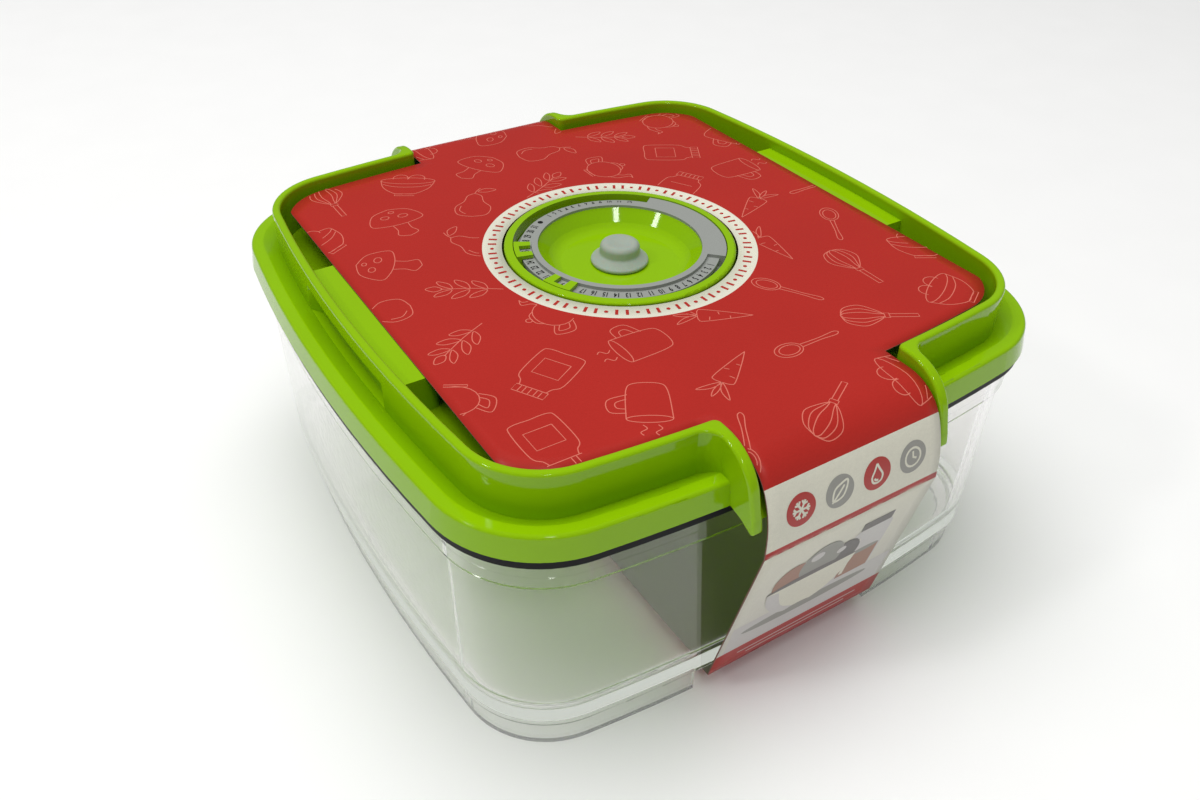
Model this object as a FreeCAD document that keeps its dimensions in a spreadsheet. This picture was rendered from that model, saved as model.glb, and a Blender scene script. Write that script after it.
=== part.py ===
"""Square vacuum food canister: a clear tub, a moulded lid with date dial and air valve, and a card sleeve.

Millimetres, +Z up. The origin is on the ground under the middle of the tub. The lid's two lifting
tabs point along -Y, the front, and +Y. Every square outline is an inset of the lid skirt's outline.
"""
import FreeCAD, Part
import math
import os
import types

import Sketcher

SIZES = {
    # Outline of the lid skirt: four bowed sides and four round corners
    "lid_width": 200.0,
    "side_bow_radius": 580.0,
    "corner_radius": 32.5,
    # Clear tub
    "tub_height": 73.6,
    "foot_height": 9.0,
    "foot_inset": 5.6,
    "foot_thick": 2.6,
    "foot_gap": 66.0,
    "floor_thick": 3.0,
    "wall_thick": 2.6,
    "wall_inset_low": 4.0,
    "wall_inset_high": 3.2,
    "wall_base_round": 1.3,
    "floor_round": 7.0,
    "band_inset": 2.4,
    "band_height": 8.6,
    # Lid gasket
    "gasket_height": 2.8,
    "gasket_inset": 0.7,
    "key_inset": 3.0,
    "key_width": 1.8,
    "key_height": 1.5,
    "lip_drop": 3.0,
    "lip_thick": 0.8,
    # Lid skirt, deck and rim
    "skirt_height": 3.6,
    "bead_height": 3.4,
    "bead_width": 4.6,
    "shoulder_inset": 1.0,
    "shoulder_round": 1.1,
    "deck_thick": 2.4,
    "rim_inset": 9.2,
    "rim_thick": 2.6,
    "rim_height": 14.3,
    "rim_round": 1.0,
    "tongue_thick": 1.9,
    "tongue_drop": 4.4,
    # Lifting tabs and their ears
    "tab_width": 65.2,
    "tab_rise": 1.0,
    "tab_nose": 2.4,
    "ear_thick": 3.2,
    "ear_bend_radius": 14.5,
    "ear_lean": 15.0,
    "ear_flat": 1.1,
    "ear_root_round": 5.0,
    "ear_heel_round": 2.2,
    "ear_root_sink": 0.06,
    "lip_bend_radius": 14.0,
    "lip_step": 1.0,
    # Grip pads and finger hollows in the rim's left and right sides
    "pad_length": 66.0,
    "pad_depth": 14.8,
    "pad_drop": 3.8,
    "pad_end_round": 3.0,
    "hollow_length": 58.0,
    "hollow_depth": 3.0,
    "hollow_slant": 5.0,
    "hollow_sill": 1.2,
    "hollow_brow": 1.2,
    # Dial collar and pump bowl
    "collar_wall": 2.7,
    "collar_height": 11.6,
    "collar_round": 0.8,
    "seat_depth": 5.6,
    "bowl_radius": 25.4,
    "bowl_wall": 1.0,
    "bowl_wall_drop": 1.1,
    "bowl_depth": 6.8,
    "bowl_slope": 4.6,
    "bowl_round": 5.0,
    "bowl_floor_thick": 2.0,
    # Date ring
    "ring_flange": 1.6,
    "web_width": 3.2,
    "rail_reach": 1.4,
    "slider_track": 2.1,
    "rail_thick": 1.2,
    "track_drop": 1.3,
    "inner_lip_width": 1.9,
    "inner_lip_drop": 0.3,
    "plateau_angle": 85.0,
    "plateau_place": -3.2,
    # Date sliders
    "slider_angle": 17.0,
    "slider_rise": 1.1,
    "slider_hook": 1.25,
    "slider_arm": 5.1,
    "window_width": 3.6,
    "window_depth": 3.5,
    "day_slider_place": 202.4,
    "month_slider_place": 157.9,
    # Air valve
    "stem_radius": 2.1,
    "flange_radius": 9.0,
    "flange_edge": 1.3,
    "flange_rise": 2.5,
    "cap_radius": 5.9,
    "cap_height": 6.8,
    "cap_round": 1.4,
    "bulb_radius": 3.6,
    "bulb_height": 3.2,
    "valve_lift": 3.0,
    "vent_circle": 5.6,
    "vent_radius": 1.1,
    "vent_count": 6,
    # Card sleeve
    "card": 0.5,
    "sleeve_inset": 14.4,
    "sleeve_side_inset": 19.8,
    "sleeve_hole_gap": 0.6,
    "strap_width": 57.2,
    "wrap_width": 62.0,
    "strap_setback": 6.3,
    "strap_overlap": 5.4,
    "shoulder_bend_radius": 14.0,
    "shoulder_bend": 65.0,
    "nose_bend_radius": 35.0,
    "nose_bend": 88.0,
    "strap_tail": 4.2,
    "wrap_foot_gap": 1.0,
    # Clearances
    "fit": 0.3,
    "run": 0.25,
    "tear_gap": 0.2,
}

doc = FreeCAD.newDocument("VacuumCanister")
sheet = doc.addObject("Spreadsheet::Sheet", "Sizes")
for row, (alias, length) in enumerate(SIZES.items(), start=1):
    sheet.set(f"A{row}", alias)
    sheet.set(f"B{row}", str(length))
    sheet.setAlias(f"B{row}", alias)
doc.recompute()


class Size:
    """A length that keeps its number together with the sheet formula that it comes from."""

    def __init__(self, number, formula):
        self.number = number
        self.formula = formula

    def __add__(self, other):
        return Size(self.number + number(other), f"({self.formula} + {formula(other)})")

    def __sub__(self, other):
        return Size(self.number - number(other), f"({self.formula} - {formula(other)})")

    def __rsub__(self, other):
        return Size(number(other) - self.number, f"({formula(other)} - {self.formula})")

    def __mul__(self, other):
        return Size(self.number * number(other), f"({self.formula} * {formula(other)})")

    def __truediv__(self, other):
        return Size(self.number / number(other), f"({self.formula} / {formula(other)})")

    def __neg__(self):
        return Size(-self.number, f"(-{self.formula})")


def number(size):
    return size.number if isinstance(size, Size) else float(size)


def formula(size):
    return size.formula if isinstance(size, Size) else str(size)


def sine(angle):
    return Size(math.sin(math.radians(angle.number)), f"sin({angle.formula} * 1 deg)")


def cosine(angle):
    return Size(math.cos(math.radians(angle.number)), f"cos({angle.formula} * 1 deg)")


def draft(widening, height):
    """Angle of a wall that moves outward by widening over its height."""
    angle = math.degrees(math.atan(widening.number / height.number))
    return Size(angle, f"atan({widening.formula} / {height.formula})")


def bind(thing, path, size):
    thing.setExpression(path, formula(size))


s = types.SimpleNamespace(**{alias: Size(length, f"Sizes.{alias}") for alias, length in SIZES.items()})

# Levels and reaches that several pieces share
flush = Size(0.0, "0")
half = s.lid_width / 2
skirt_bottom = s.tub_height + s.gasket_height
shoulder = skirt_bottom + s.skirt_height
bead_top = shoulder + s.bead_height
deck_under = shoulder - s.deck_thick
rim_top = shoulder + s.rim_height
pad_top = rim_top - s.pad_drop
collar_top = shoulder + s.collar_height
ring_seat = collar_top - s.seat_depth
bowl_floor = collar_top - s.bowl_depth
bowl_under = bowl_floor - s.bowl_floor_thick
bowl_wall_top = collar_top - s.bowl_wall_drop
bowl_outer = s.bowl_radius + s.bowl_wall
web_radius = bowl_outer + s.web_width
rail_radius = web_radius + s.rail_reach
collar_inner = rail_radius + s.slider_track
collar_radius = collar_inner + s.collar_wall
flange_top = ring_seat + s.ring_flange
track = collar_top - s.track_drop
rail_under = track - s.rail_thick
tub_inner = s.wall_inset_high + s.wall_thick
lip_inset = tub_inner + s.fit
gasket_inner = lip_inset + s.lip_thick
tongue_inset = gasket_inner + s.fit
tub_floor = s.foot_height + s.floor_thick
ear_start = half - s.rim_inset + s.ear_flat
ear_centre = rim_top - s.ear_bend_radius
lean_start = ear_start + s.ear_bend_radius * cosine(s.ear_lean)
lean_level = ear_centre + s.ear_bend_radius * sine(s.ear_lean)
nose_top = skirt_bottom + s.tab_rise
nose_low = nose_top - s.tab_nose
strap_flat = half - s.strap_setback
strap_root = half - s.sleeve_inset - s.strap_overlap
tab_tip = lean_start + (lean_level - nose_top) * sine(s.ear_lean) / cosine(s.ear_lean)


def new_body(label):
    body = doc.addObject("PartDesign::Body", label)
    body.Label = label
    return body


def new_sketch(body, name, role="XY_Plane", lift=None):
    sketch = body.newObject("Sketcher::SketchObject", name)
    plane = next(feature for feature in body.Origin.OriginFeatures if feature.Role == role)
    sketch.AttachmentSupport = [(plane, "")]
    sketch.MapMode = "FlatFace"
    if lift is not None:
        bind(sketch, "AttachmentOffset.Base.z", lift)
    return sketch


def constrain(sketch, constraint, size):
    index = sketch.addConstraint(constraint)
    bind(sketch, f"Constraints[{index}]", size)


def place_point(sketch, edge, end, across, up):
    """Fix one sketch point by its two coordinates, each bound to its own formula."""
    for kind, axis, size in (("DistanceX", -2, across), ("DistanceY", -1, up)):
        if isinstance(size, Size):
            constrain(sketch, Sketcher.Constraint(kind, edge, end, size.number), size)
        else:
            sketch.addConstraint(Sketcher.Constraint("PointOnObject", edge, end, axis))


def arc_between(start, end, radius, clockwise):
    """The shorter arc from start to end, as the counter-clockwise arc that a sketch stores."""
    chord = end - start
    side = FreeCAD.Vector(chord.y, -chord.x, 0) if clockwise else FreeCAD.Vector(-chord.y, chord.x, 0)
    side.normalize()
    centre = (start + end) / 2 + side * math.sqrt(radius**2 - chord.Length**2 / 4)
    first, last = (end, start) if clockwise else (start, end)
    circle = Part.Circle(centre, FreeCAD.Vector(0, 0, 1), radius)
    return Part.ArcOfCircle(circle, circle.parameter(first), circle.parameter(last))


def add_loop(sketch, corners):
    """A closed outline. A corner is (across, up), or (across, up, radius, clockwise) where an arc leaves it."""
    spots = [FreeCAD.Vector(number(corner[0]), number(corner[1]), 0) for corner in corners]
    first = len(sketch.Geometry)
    starts = []
    ends = []
    for index, corner in enumerate(corners):
        spot = spots[index]
        following = spots[(index + 1) % len(spots)]
        if len(corner) == 2:
            sketch.addGeometry(Part.LineSegment(spot, following))
        else:
            sketch.addGeometry(arc_between(spot, following, corner[2].number, corner[3]))
        turned = len(corner) > 2 and corner[3]
        starts.append(2 if turned else 1)
        ends.append(1 if turned else 2)
    for index, corner in enumerate(corners):
        after = (index + 1) % len(corners)
        joint = Sketcher.Constraint("Coincident", first + index, ends[index], first + after, starts[after])
        sketch.addConstraint(joint)
    for index, corner in enumerate(corners):
        place_point(sketch, first + index, starts[index], corner[0], corner[1])
        if len(corner) > 2:
            constrain(sketch, Sketcher.Constraint("Radius", first + index, corner[2].number), corner[2])


def add_circle(sketch, radius, across=0):
    """A circle on the sketch's horizontal axis."""
    edge = len(sketch.Geometry)
    centre = FreeCAD.Vector(number(across), 0, 0)
    sketch.addGeometry(Part.Circle(centre, FreeCAD.Vector(0, 0, 1), radius.number))
    place_point(sketch, edge, 3, across, 0)
    constrain(sketch, Sketcher.Constraint("Radius", edge, radius.number), radius)


def add_bowed_square(sketch, inset):
    """Inset of the skirt's outline: side and corner arcs that keep their centres and meet in tangents."""
    first = len(sketch.Geometry)
    side = s.side_bow_radius - inset
    corner = s.corner_radius - inset
    reach = s.side_bow_radius - half
    spread = side.number - corner.number
    bend = (math.sqrt(2 * spread**2 - reach.number**2) - reach.number) / 2
    lean = math.atan2(bend, bend + reach.number)
    for quarter in range(4):
        turn = quarter * math.pi / 2
        inward = FreeCAD.Vector(-math.cos(turn), -math.sin(turn), 0)
        outward = FreeCAD.Vector(math.cos(turn + math.pi / 4), math.sin(turn + math.pi / 4), 0)
        side_circle = Part.Circle(inward * reach.number, FreeCAD.Vector(0, 0, 1), side.number)
        corner_circle = Part.Circle(outward * bend * math.sqrt(2), FreeCAD.Vector(0, 0, 1), corner.number)
        sketch.addGeometry(Part.ArcOfCircle(side_circle, turn - lean, turn + lean))
        sketch.addGeometry(Part.ArcOfCircle(corner_circle, turn + lean, turn + math.pi / 2 - lean))
    for edge in range(8):
        tangent = Sketcher.Constraint("Tangent", first + edge, 2, first + (edge + 1) % 8, 1)
        sketch.addConstraint(tangent)
    place_point(sketch, first, 3, -reach, 0)
    place_point(sketch, first + 2, 3, 0, -reach)
    place_point(sketch, first + 4, 3, reach, 0)
    place_point(sketch, first + 6, 3, 0, reach)
    constrain(sketch, Sketcher.Constraint("Radius", first, side.number), side)
    constrain(sketch, Sketcher.Constraint("Radius", first + 1, corner.number), corner)
    for edge in range(2, 8):
        sketch.addConstraint(Sketcher.Constraint("Equal", first + edge % 2, first + edge))


def square_sketch(body, name, lift, *insets):
    """One inset of the skirt's outline, or the ring between two."""
    sketch = new_sketch(body, name, lift=lift)
    for inset in insets:
        add_bowed_square(sketch, inset)
    return sketch


def loop_sketch(body, name, role, lift, *loops):
    sketch = new_sketch(body, name, role, lift)
    for corners in loops:
        add_loop(sketch, corners)
    return sketch


def add_feature(body, kind, name, profile):
    feature = body.newObject(f"PartDesign::{kind}", name)
    feature.Profile = profile
    return feature


def settle(body, feature, volume_before, adds):
    """Recompute, and stop if the feature failed or left the solid as it was."""
    doc.recompute()
    if "Invalid" in feature.State or body.Shape.isNull():
        raise RuntimeError(f"{body.Label}: {feature.Name} failed")
    gain = body.Shape.Volume - volume_before
    changed = abs(gain) > 0 if adds is None else (gain > 0) == adds
    if not changed:
        raise RuntimeError(f"{body.Label}: {feature.Name} changes nothing")
    return feature


def volume_of(body):
    return 0.0 if body.Shape.isNull() else body.Shape.Volume


def pad(body, sketch, length, symmetric=False, taper=None):
    before = volume_of(body)
    feature = add_feature(body, "Pad", f"{sketch.Name}Pad", sketch)
    feature.SideType = "Symmetric" if symmetric else "One side"
    bind(feature, "Length", length)
    if taper is not None:
        bind(feature, "TaperAngle", taper)
    return settle(body, feature, before, adds=True)


def pocket(body, sketch, depth, upward=False, symmetric=False, taper=None):
    before = volume_of(body)
    feature = add_feature(body, "Pocket", f"{sketch.Name}Pocket", sketch)
    feature.SideType = "Symmetric" if symmetric else "One side"
    feature.Reversed = upward
    bind(feature, "Length", depth)
    if taper is not None:
        bind(feature, "TaperAngle", taper)
    return settle(body, feature, before, adds=False)


def revolve(body, sketch, angle=None):
    """A full turn about Z, or a part of one that lies evenly about the sketch's plane."""
    before = volume_of(body)
    feature = add_feature(body, "Revolution", f"{sketch.Name}Turn", sketch)
    feature.ReferenceAxis = (sketch, ["V_Axis"])
    feature.Angle = 360
    if angle is not None:
        feature.Midplane = True
        bind(feature, "Angle", angle)
    return settle(body, feature, before, adds=True)


def mirror(body, name, role, originals):
    before = volume_of(body)
    feature = body.newObject("PartDesign::Mirrored", name)
    plane = next(item for item in body.Origin.OriginFeatures if item.Role == role)
    feature.Originals = originals
    feature.MirrorPlane = (plane, [""])
    body.Tip = feature
    return settle(body, feature, before, adds=None)


def fillet(body, name, radius, wanted):
    """Round every edge of the solid that the test wants."""
    base = body.Tip
    names = [f"Edge{index}" for index, edge in enumerate(base.Shape.Edges, start=1) if wanted(edge)]
    feature = body.newObject("PartDesign::Fillet", name)
    feature.Base = (base, names)
    bind(feature, "Radius", radius)
    return settle(body, feature, base.Shape.Volume, adds=None)


def turn_about_z(body, place):
    body.Placement = FreeCAD.Placement(FreeCAD.Vector(), FreeCAD.Vector(0, 0, 1), place.number)
    bind(body, "Placement.Rotation.Angle", place)
    doc.recompute()


def lies_at(edge, level):
    box = edge.BoundBox
    return abs(box.ZMin - level.number) < 1e-4 and abs(box.ZMax - level.number) < 1e-4


def is_circle(edge, radius, level):
    return lies_at(edge, level) and hasattr(edge.Curve, "Radius") and abs(edge.Curve.Radius - radius.number) < 1e-4


def rectangle(left, right, low, high):
    return [(left, low), (right, low), (right, high), (left, high)]


def clear_tub():
    body = new_body("clear_tub")
    widening = s.wall_inset_low - s.wall_inset_high
    wall_height = s.tub_height - s.foot_height
    wall = square_sketch(body, "TubWall", s.foot_height, s.wall_inset_low)
    pad(body, wall, wall_height, taper=draft(widening, wall_height))
    fillet(body, "TubBaseRound", s.wall_base_round, lambda edge: lies_at(edge, s.foot_height))
    band = square_sketch(body, "TubBand", s.tub_height - s.band_height, s.band_inset)
    pad(body, band, s.band_height)
    hollow = square_sketch(body, "TubHollow", s.tub_height, tub_inner)
    hollow_depth = s.tub_height - tub_floor
    pocket(body, hollow, hollow_depth, taper=-draft(widening, wall_height))
    fillet(body, "TubFloorRound", s.floor_round, lambda edge: lies_at(edge, tub_floor))
    foot = square_sketch(body, "TubFoot", None, s.foot_inset, s.foot_inset + s.foot_thick)
    pad(body, foot, s.foot_height + s.floor_thick / 2)
    gap = rectangle(-(s.foot_gap / 2), s.foot_gap / 2, -half, half)
    pocket(body, loop_sketch(body, "FootGap", "XY_Plane", None, gap), s.foot_height, upward=True)
    return body


def lid_tabs(body):
    """The front lifting tab: a nose past the skirt between two ears, mirrored to the rear."""
    tab_half = s.tab_width / 2
    channel_half = tab_half - s.ear_thick
    web_half = tab_half + s.ear_root_round
    web_width = web_half * 2
    root = half - s.rim_inset - s.rim_thick
    rim_middle = half - s.rim_inset - s.rim_thick / 2
    rim_drop = web_half * web_half / ((s.side_bow_radius - s.rim_inset) * 2)
    web_root = half - s.rim_inset - rim_drop - s.ear_root_sink
    web = web_root + s.ear_root_round
    beyond = tab_tip + s.tab_nose
    chin = tab_tip - s.tab_nose
    heel = half - s.gasket_inset + s.fit
    brow = half - s.shoulder_inset - s.shoulder_round

    block = [
        (-web_half, -web_root, s.ear_root_round, True),
        (-tab_half, -web),
        (-tab_half, -tab_tip),
        (tab_half, -tab_tip),
        (tab_half, -web, s.ear_root_round, True),
        (web_half, -web_root),
    ]
    block_pad = pad(body, loop_sketch(body, "TabBlock", "XY_Plane", nose_low, block), rim_top - nose_low)
    over_ear = [
        (-ear_start, rim_top + s.ear_flat),
        (-beyond, rim_top + s.ear_flat),
        (-beyond, nose_top),
        (-tab_tip, nose_top),
        (-lean_start, lean_level, s.ear_bend_radius, True),
        (-ear_start, rim_top),
    ]
    over = pocket(body, loop_sketch(body, "OverEar", "YZ_Plane", None, over_ear), web_width, symmetric=True)
    under_nose = [
        (-root, nose_low),
        (-root, skirt_bottom),
        (-heel, skirt_bottom),
        (-chin, nose_low),
    ]
    under = pocket(body, loop_sketch(body, "UnderNose", "YZ_Plane", None, under_nose), web_width, symmetric=True)
    nose_end = [
        (-chin, nose_low),
        (-tab_tip, nose_top),
        (-beyond, nose_top),
        (-beyond, nose_low),
    ]
    end = pocket(body, loop_sketch(body, "NoseEnd", "YZ_Plane", None, nose_end), s.tab_width, symmetric=True)
    channel = rectangle(-channel_half, channel_half, -beyond, -(root - s.rim_thick))
    channel_cut = pocket(body, loop_sketch(body, "TabChannel", "XY_Plane", rim_top, channel), s.rim_height)
    lip_low = nose_top - s.lip_step
    over_lip = [
        (-brow, shoulder),
        (-beyond, shoulder),
        (-beyond, lip_low),
        (-(tab_tip - s.lip_step), lip_low, s.lip_bend_radius, True),
    ]
    lip_sketch = loop_sketch(body, "OverLip", "YZ_Plane", None, over_lip)
    lip_cut = pocket(body, lip_sketch, channel_half * 2, symmetric=True)
    mirror(body, "RearTab", "XZ_Plane", [block_pad, over, under, end, channel_cut, lip_cut])

    def is_heel(edge):
        box = edge.BoundBox
        upright = box.XLength + box.YLength < 1e-4
        at_ear = abs(abs(box.XMin) - channel_half.number) < 1e-4
        return upright and at_ear and abs(box.YMin) < rim_middle.number

    fillet(body, "EarHeelRound", s.ear_heel_round, is_heel)


def is_rim_edge(edge):
    """True for the edges of the rim's top and for those that run on down the ears."""
    box = edge.BoundBox
    if lies_at(edge, rim_top):
        return box.YLength > 1e-4
    middle = edge.valueAt((edge.FirstParameter + edge.LastParameter) / 2)
    across = abs(middle.y) - ear_start.number
    up = middle.z - ear_centre.number
    lean = math.radians(s.ear_lean.number)
    from_centre = math.hypot(across, up)
    from_lean = across * math.cos(lean) + up * math.sin(lean)
    on_bend = min(abs(from_centre - s.ear_bend_radius.number), abs(from_lean - s.ear_bend_radius.number)) < 1e-4
    return on_bend and box.XLength < 1e-4


def lid_grips(body):
    """Pads inside the rim's left and right sides, each with a finger hollow in the outer wall."""
    pad_outer = half - s.rim_inset - s.rim_thick / 2
    pad_inner = half - s.rim_inset - s.pad_depth
    reach = s.pad_length / 2
    pads = [rectangle(-pad_outer, -pad_inner, -reach, reach), rectangle(pad_inner, pad_outer, -reach, reach)]
    pad(body, loop_sketch(body, "GripPads", "XY_Plane", shoulder, *pads), pad_top - shoulder)

    def is_pad_end(edge):
        box = edge.BoundBox
        upright = box.XLength + box.YLength < 1e-4
        return upright and abs(abs(box.XMin) - pad_inner.number) < 1e-4

    fillet(body, "PadRound", s.pad_end_round, is_pad_end)
    wall = half - s.rim_inset
    mouth = wall + s.fit
    deep = wall - s.hollow_depth
    wide = s.hollow_length / 2
    narrow = wide - s.hollow_slant
    left = [(-mouth, -wide), (-wall, -wide), (-deep, -narrow), (-deep, narrow), (-wall, wide), (-mouth, wide)]
    right = [(-across, up) for across, up in left]
    sill = shoulder + s.hollow_sill
    hollows = loop_sketch(body, "FingerHollows", "XY_Plane", sill, left, right)
    pocket(body, hollows, pad_top - s.hollow_brow - sill, upward=True)


def lid_hub(body):
    """The dial's collar and seat, and the pump bowl with its valve hole and vents."""
    opening = new_sketch(body, "HubOpening", lift=shoulder)
    add_circle(opening, collar_inner + s.collar_wall / 2)
    pocket(body, opening, s.deck_thick)
    bowl_foot = s.bowl_radius - s.bowl_slope
    stem_hole = s.stem_radius + s.fit
    hub = [
        (collar_radius, deck_under),
        (collar_radius, collar_top),
        (collar_inner, collar_top),
        (collar_inner, ring_seat),
        (bowl_outer, ring_seat),
        (bowl_outer, bowl_wall_top),
        (s.bowl_radius, bowl_wall_top),
        (bowl_foot, bowl_floor),
        (stem_hole, bowl_floor),
        (stem_hole, bowl_under),
        (collar_inner, bowl_under),
        (collar_inner, deck_under),
    ]
    revolve(body, loop_sketch(body, "Hub", "XZ_Plane", None, hub))
    fillet(body, "BowlRound", s.bowl_round, lambda edge: is_circle(edge, bowl_foot, bowl_floor))
    fillet(body, "CollarRound", s.collar_round, lambda edge: is_circle(edge, collar_radius, collar_top))
    vent = new_sketch(body, "Vent", lift=bowl_floor)
    add_circle(vent, s.vent_radius, s.vent_circle)
    vent_hole = pocket(body, vent, s.bowl_floor_thick)
    vents = body.newObject("PartDesign::PolarPattern", "Vents")
    vents.Originals = [vent_hole]
    vents.Axis = (vent, ["N_Axis"])
    vents.Angle = 360
    bind(vents, "Occurrences", s.vent_count)
    body.Tip = vents
    doc.recompute()


def lid_shell():
    body = new_body("lid_shell")
    skirt = square_sketch(body, "Skirt", skirt_bottom, flush)
    skirt_height = s.skirt_height + s.bead_height
    pad(body, skirt, skirt_height, taper=draft(-s.shoulder_inset, skirt_height))
    groove_inset = s.rim_inset + s.rim_thick / 2
    moat = square_sketch(body, "Moat", bead_top, s.bead_width)
    pocket(body, moat, s.bead_height, taper=draft(s.bead_width - groove_inset, s.bead_height))
    fillet(body, "ShoulderRound", s.shoulder_round, lambda edge: lies_at(edge, bead_top))
    rim = square_sketch(body, "Rim", shoulder, s.rim_inset, s.rim_inset + s.rim_thick)
    pad(body, rim, s.rim_height)
    lid_grips(body)
    lid_tabs(body)
    fillet(body, "RimRound", s.rim_round, is_rim_edge)
    under = square_sketch(body, "DeckUnder", skirt_bottom, s.rim_inset)
    pocket(body, under, s.skirt_height - s.deck_thick, upward=True)
    groove = square_sketch(
        body, "GasketGroove", skirt_bottom, s.key_inset - s.fit, s.key_inset + s.key_width + s.fit
    )
    pocket(body, groove, s.key_height + s.fit, upward=True)
    tongue = square_sketch(
        body, "Tongue", skirt_bottom - s.tongue_drop, tongue_inset, tongue_inset + s.tongue_thick
    )
    pad(body, tongue, s.tongue_drop)
    lid_hub(body)
    return body


def lid_gasket():
    """Flat seal on the tub's edge, with a key in the lid's groove and a lip inside the tub."""
    body = new_body("lid_gasket")
    flat = square_sketch(body, "GasketFlat", s.tub_height, s.gasket_inset, gasket_inner)
    pad(body, flat, s.gasket_height)
    key = square_sketch(body, "GasketKey", skirt_bottom, s.key_inset, s.key_inset + s.key_width)
    pad(body, key, s.key_height)
    lip = square_sketch(body, "GasketLip", s.tub_height - s.lip_drop, lip_inset, gasket_inner)
    pad(body, lip, s.lip_drop)
    return body


def date_ring():
    """Ring pressed between collar and bowl: flange, rail for the sliders, inner lip and bare plateau."""
    body = new_body("date_ring")
    bore = bowl_outer + s.fit
    rim = collar_inner - s.fit
    lip_outer = s.bowl_radius + s.inner_lip_width
    lip_top = collar_top - s.inner_lip_drop
    section = [
        (bore, ring_seat),
        (rim, ring_seat),
        (rim, flange_top),
        (web_radius, flange_top),
        (web_radius, rail_under),
        (rail_radius, rail_under),
        (rail_radius, track),
        (lip_outer, track),
        (lip_outer, lip_top),
        (s.bowl_radius, lip_top),
        (s.bowl_radius, bowl_wall_top),
        (bore, bowl_wall_top),
    ]
    revolve(body, loop_sketch(body, "RingSection", "XZ_Plane", None, section))
    plateau = rectangle(lip_outer, rim, flange_top, lip_top)
    revolve(body, loop_sketch(body, "Plateau", "XZ_Plane", None, plateau), s.plateau_angle)
    turn_about_z(body, s.plateau_place)
    return body


def date_slider(label, place):
    """Fork that clips round the ring's rail and frames one number between its arms."""
    body = new_body(label)
    leg_inner = rail_radius + s.run
    leg_outer = collar_inner - s.fit
    hook_inner = leg_inner - s.slider_hook
    arm_inner = leg_outer - s.slider_arm
    bottom = flange_top + s.run
    arm_under = track + s.run
    top = arm_under + s.slider_rise
    section = [
        (hook_inner, bottom),
        (leg_outer, bottom),
        (leg_outer, top),
        (arm_inner, top),
        (arm_inner, arm_under),
        (leg_inner, arm_under),
        (leg_inner, rail_under - s.run),
        (hook_inner, rail_under - s.run),
    ]
    revolve(body, loop_sketch(body, f"{label}Section", "XZ_Plane", None, section), s.slider_angle)
    window_half = s.window_width / 2
    window = rectangle(arm_inner - s.slider_rise, arm_inner + s.window_depth, -window_half, window_half)
    pocket(body, loop_sketch(body, f"{label}Window", "XY_Plane", top, window), s.slider_rise)
    turn_about_z(body, place)
    return body


def valve_button():
    """Soft valve: a grip cap on a sealing flange, and a stem whose bulb keeps it in the lid."""
    body = new_body("valve_button")
    flange_low = bowl_floor + s.flange_edge
    neck = bowl_floor + s.flange_rise
    cap_top = bowl_floor + s.cap_height
    bulb_top = bowl_under - s.valve_lift - s.run
    bulb_low = bulb_top - s.bulb_height
    section = [
        (0, bulb_low),
        (s.stem_radius, bulb_low),
        (s.bulb_radius, bulb_top - s.bulb_height / 4),
        (s.stem_radius, bulb_top),
        (s.stem_radius, bowl_floor),
        (s.flange_radius, bowl_floor),
        (s.flange_radius, flange_low),
        (s.cap_radius, neck),
        (s.cap_radius, cap_top),
        (0, cap_top),
    ]
    revolve(body, loop_sketch(body, "ValveSection", "XZ_Plane", None, section))
    fillet(body, "CapRound", s.cap_round, lambda edge: is_circle(edge, s.cap_radius, cap_top))
    return body


def strap_line(depth):
    """Half of the strap's side view, depth below its outer face, from the top to the crease."""
    top = pad_top + s.card
    bend_centre = top - s.shoulder_bend_radius
    outer = s.shoulder_bend_radius - depth
    nose = s.nose_bend_radius - depth
    step = s.shoulder_bend_radius - s.nose_bend_radius
    nose_across = strap_flat + step * sine(s.shoulder_bend)
    nose_level = bend_centre + step * cosine(s.shoulder_bend)
    return [
        (strap_root, top - depth),
        (strap_flat, top - depth, outer),
        (strap_flat + outer * sine(s.shoulder_bend), bend_centre + outer * cosine(s.shoulder_bend), nose),
        (nose_across + nose * sine(s.nose_bend), nose_level + nose * cosine(s.nose_bend)),
        (
            nose_across + nose * sine(s.nose_bend) + s.strap_tail * cosine(s.nose_bend),
            nose_level + nose * cosine(s.nose_bend) - s.strap_tail * sine(s.nose_bend),
        ),
    ]


def strap_ribbon(sign):
    """Closed outline of the strap's front (-1) or rear (+1) bend, one card thick."""
    outer = strap_line(flush)
    inner = strap_line(s.card)
    outward = sign > 0
    corners = []
    for across, up, *bend in outer:
        corners.append((across * sign, up, *bend, outward) if bend else (across * sign, up))
    backward = list(reversed(inner))
    for index, (across, up, *bend) in enumerate(backward):
        ahead = backward[index + 1][2:] if index + 1 < len(backward) else []
        corners.append((across * sign, up, *ahead, not outward) if ahead else (across * sign, up))
    return corners


def sleeve_top():
    """Card panel on the grip pads, round the dial's collar, with a strap bent over each tab."""
    body = new_body("sleeve_top")
    panel = square_sketch(body, "SleevePanel", pad_top, s.sleeve_inset)
    pad(body, panel, s.card)
    side = half - s.sleeve_side_inset
    left = rectangle(-half, -side, -half, half)
    right = rectangle(side, half, -half, half)
    pocket(body, loop_sketch(body, "PanelSides", "XY_Plane", pad_top + s.card, left, right), s.card)
    bends = loop_sketch(body, "StrapBends", "YZ_Plane", None, strap_ribbon(-1), strap_ribbon(1))
    pad(body, bends, s.strap_width, symmetric=True)
    hole = new_sketch(body, "SleeveHole", lift=pad_top + s.card)
    add_circle(hole, collar_radius + s.sleeve_hole_gap)
    pocket(body, hole, s.card)
    return body


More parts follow.
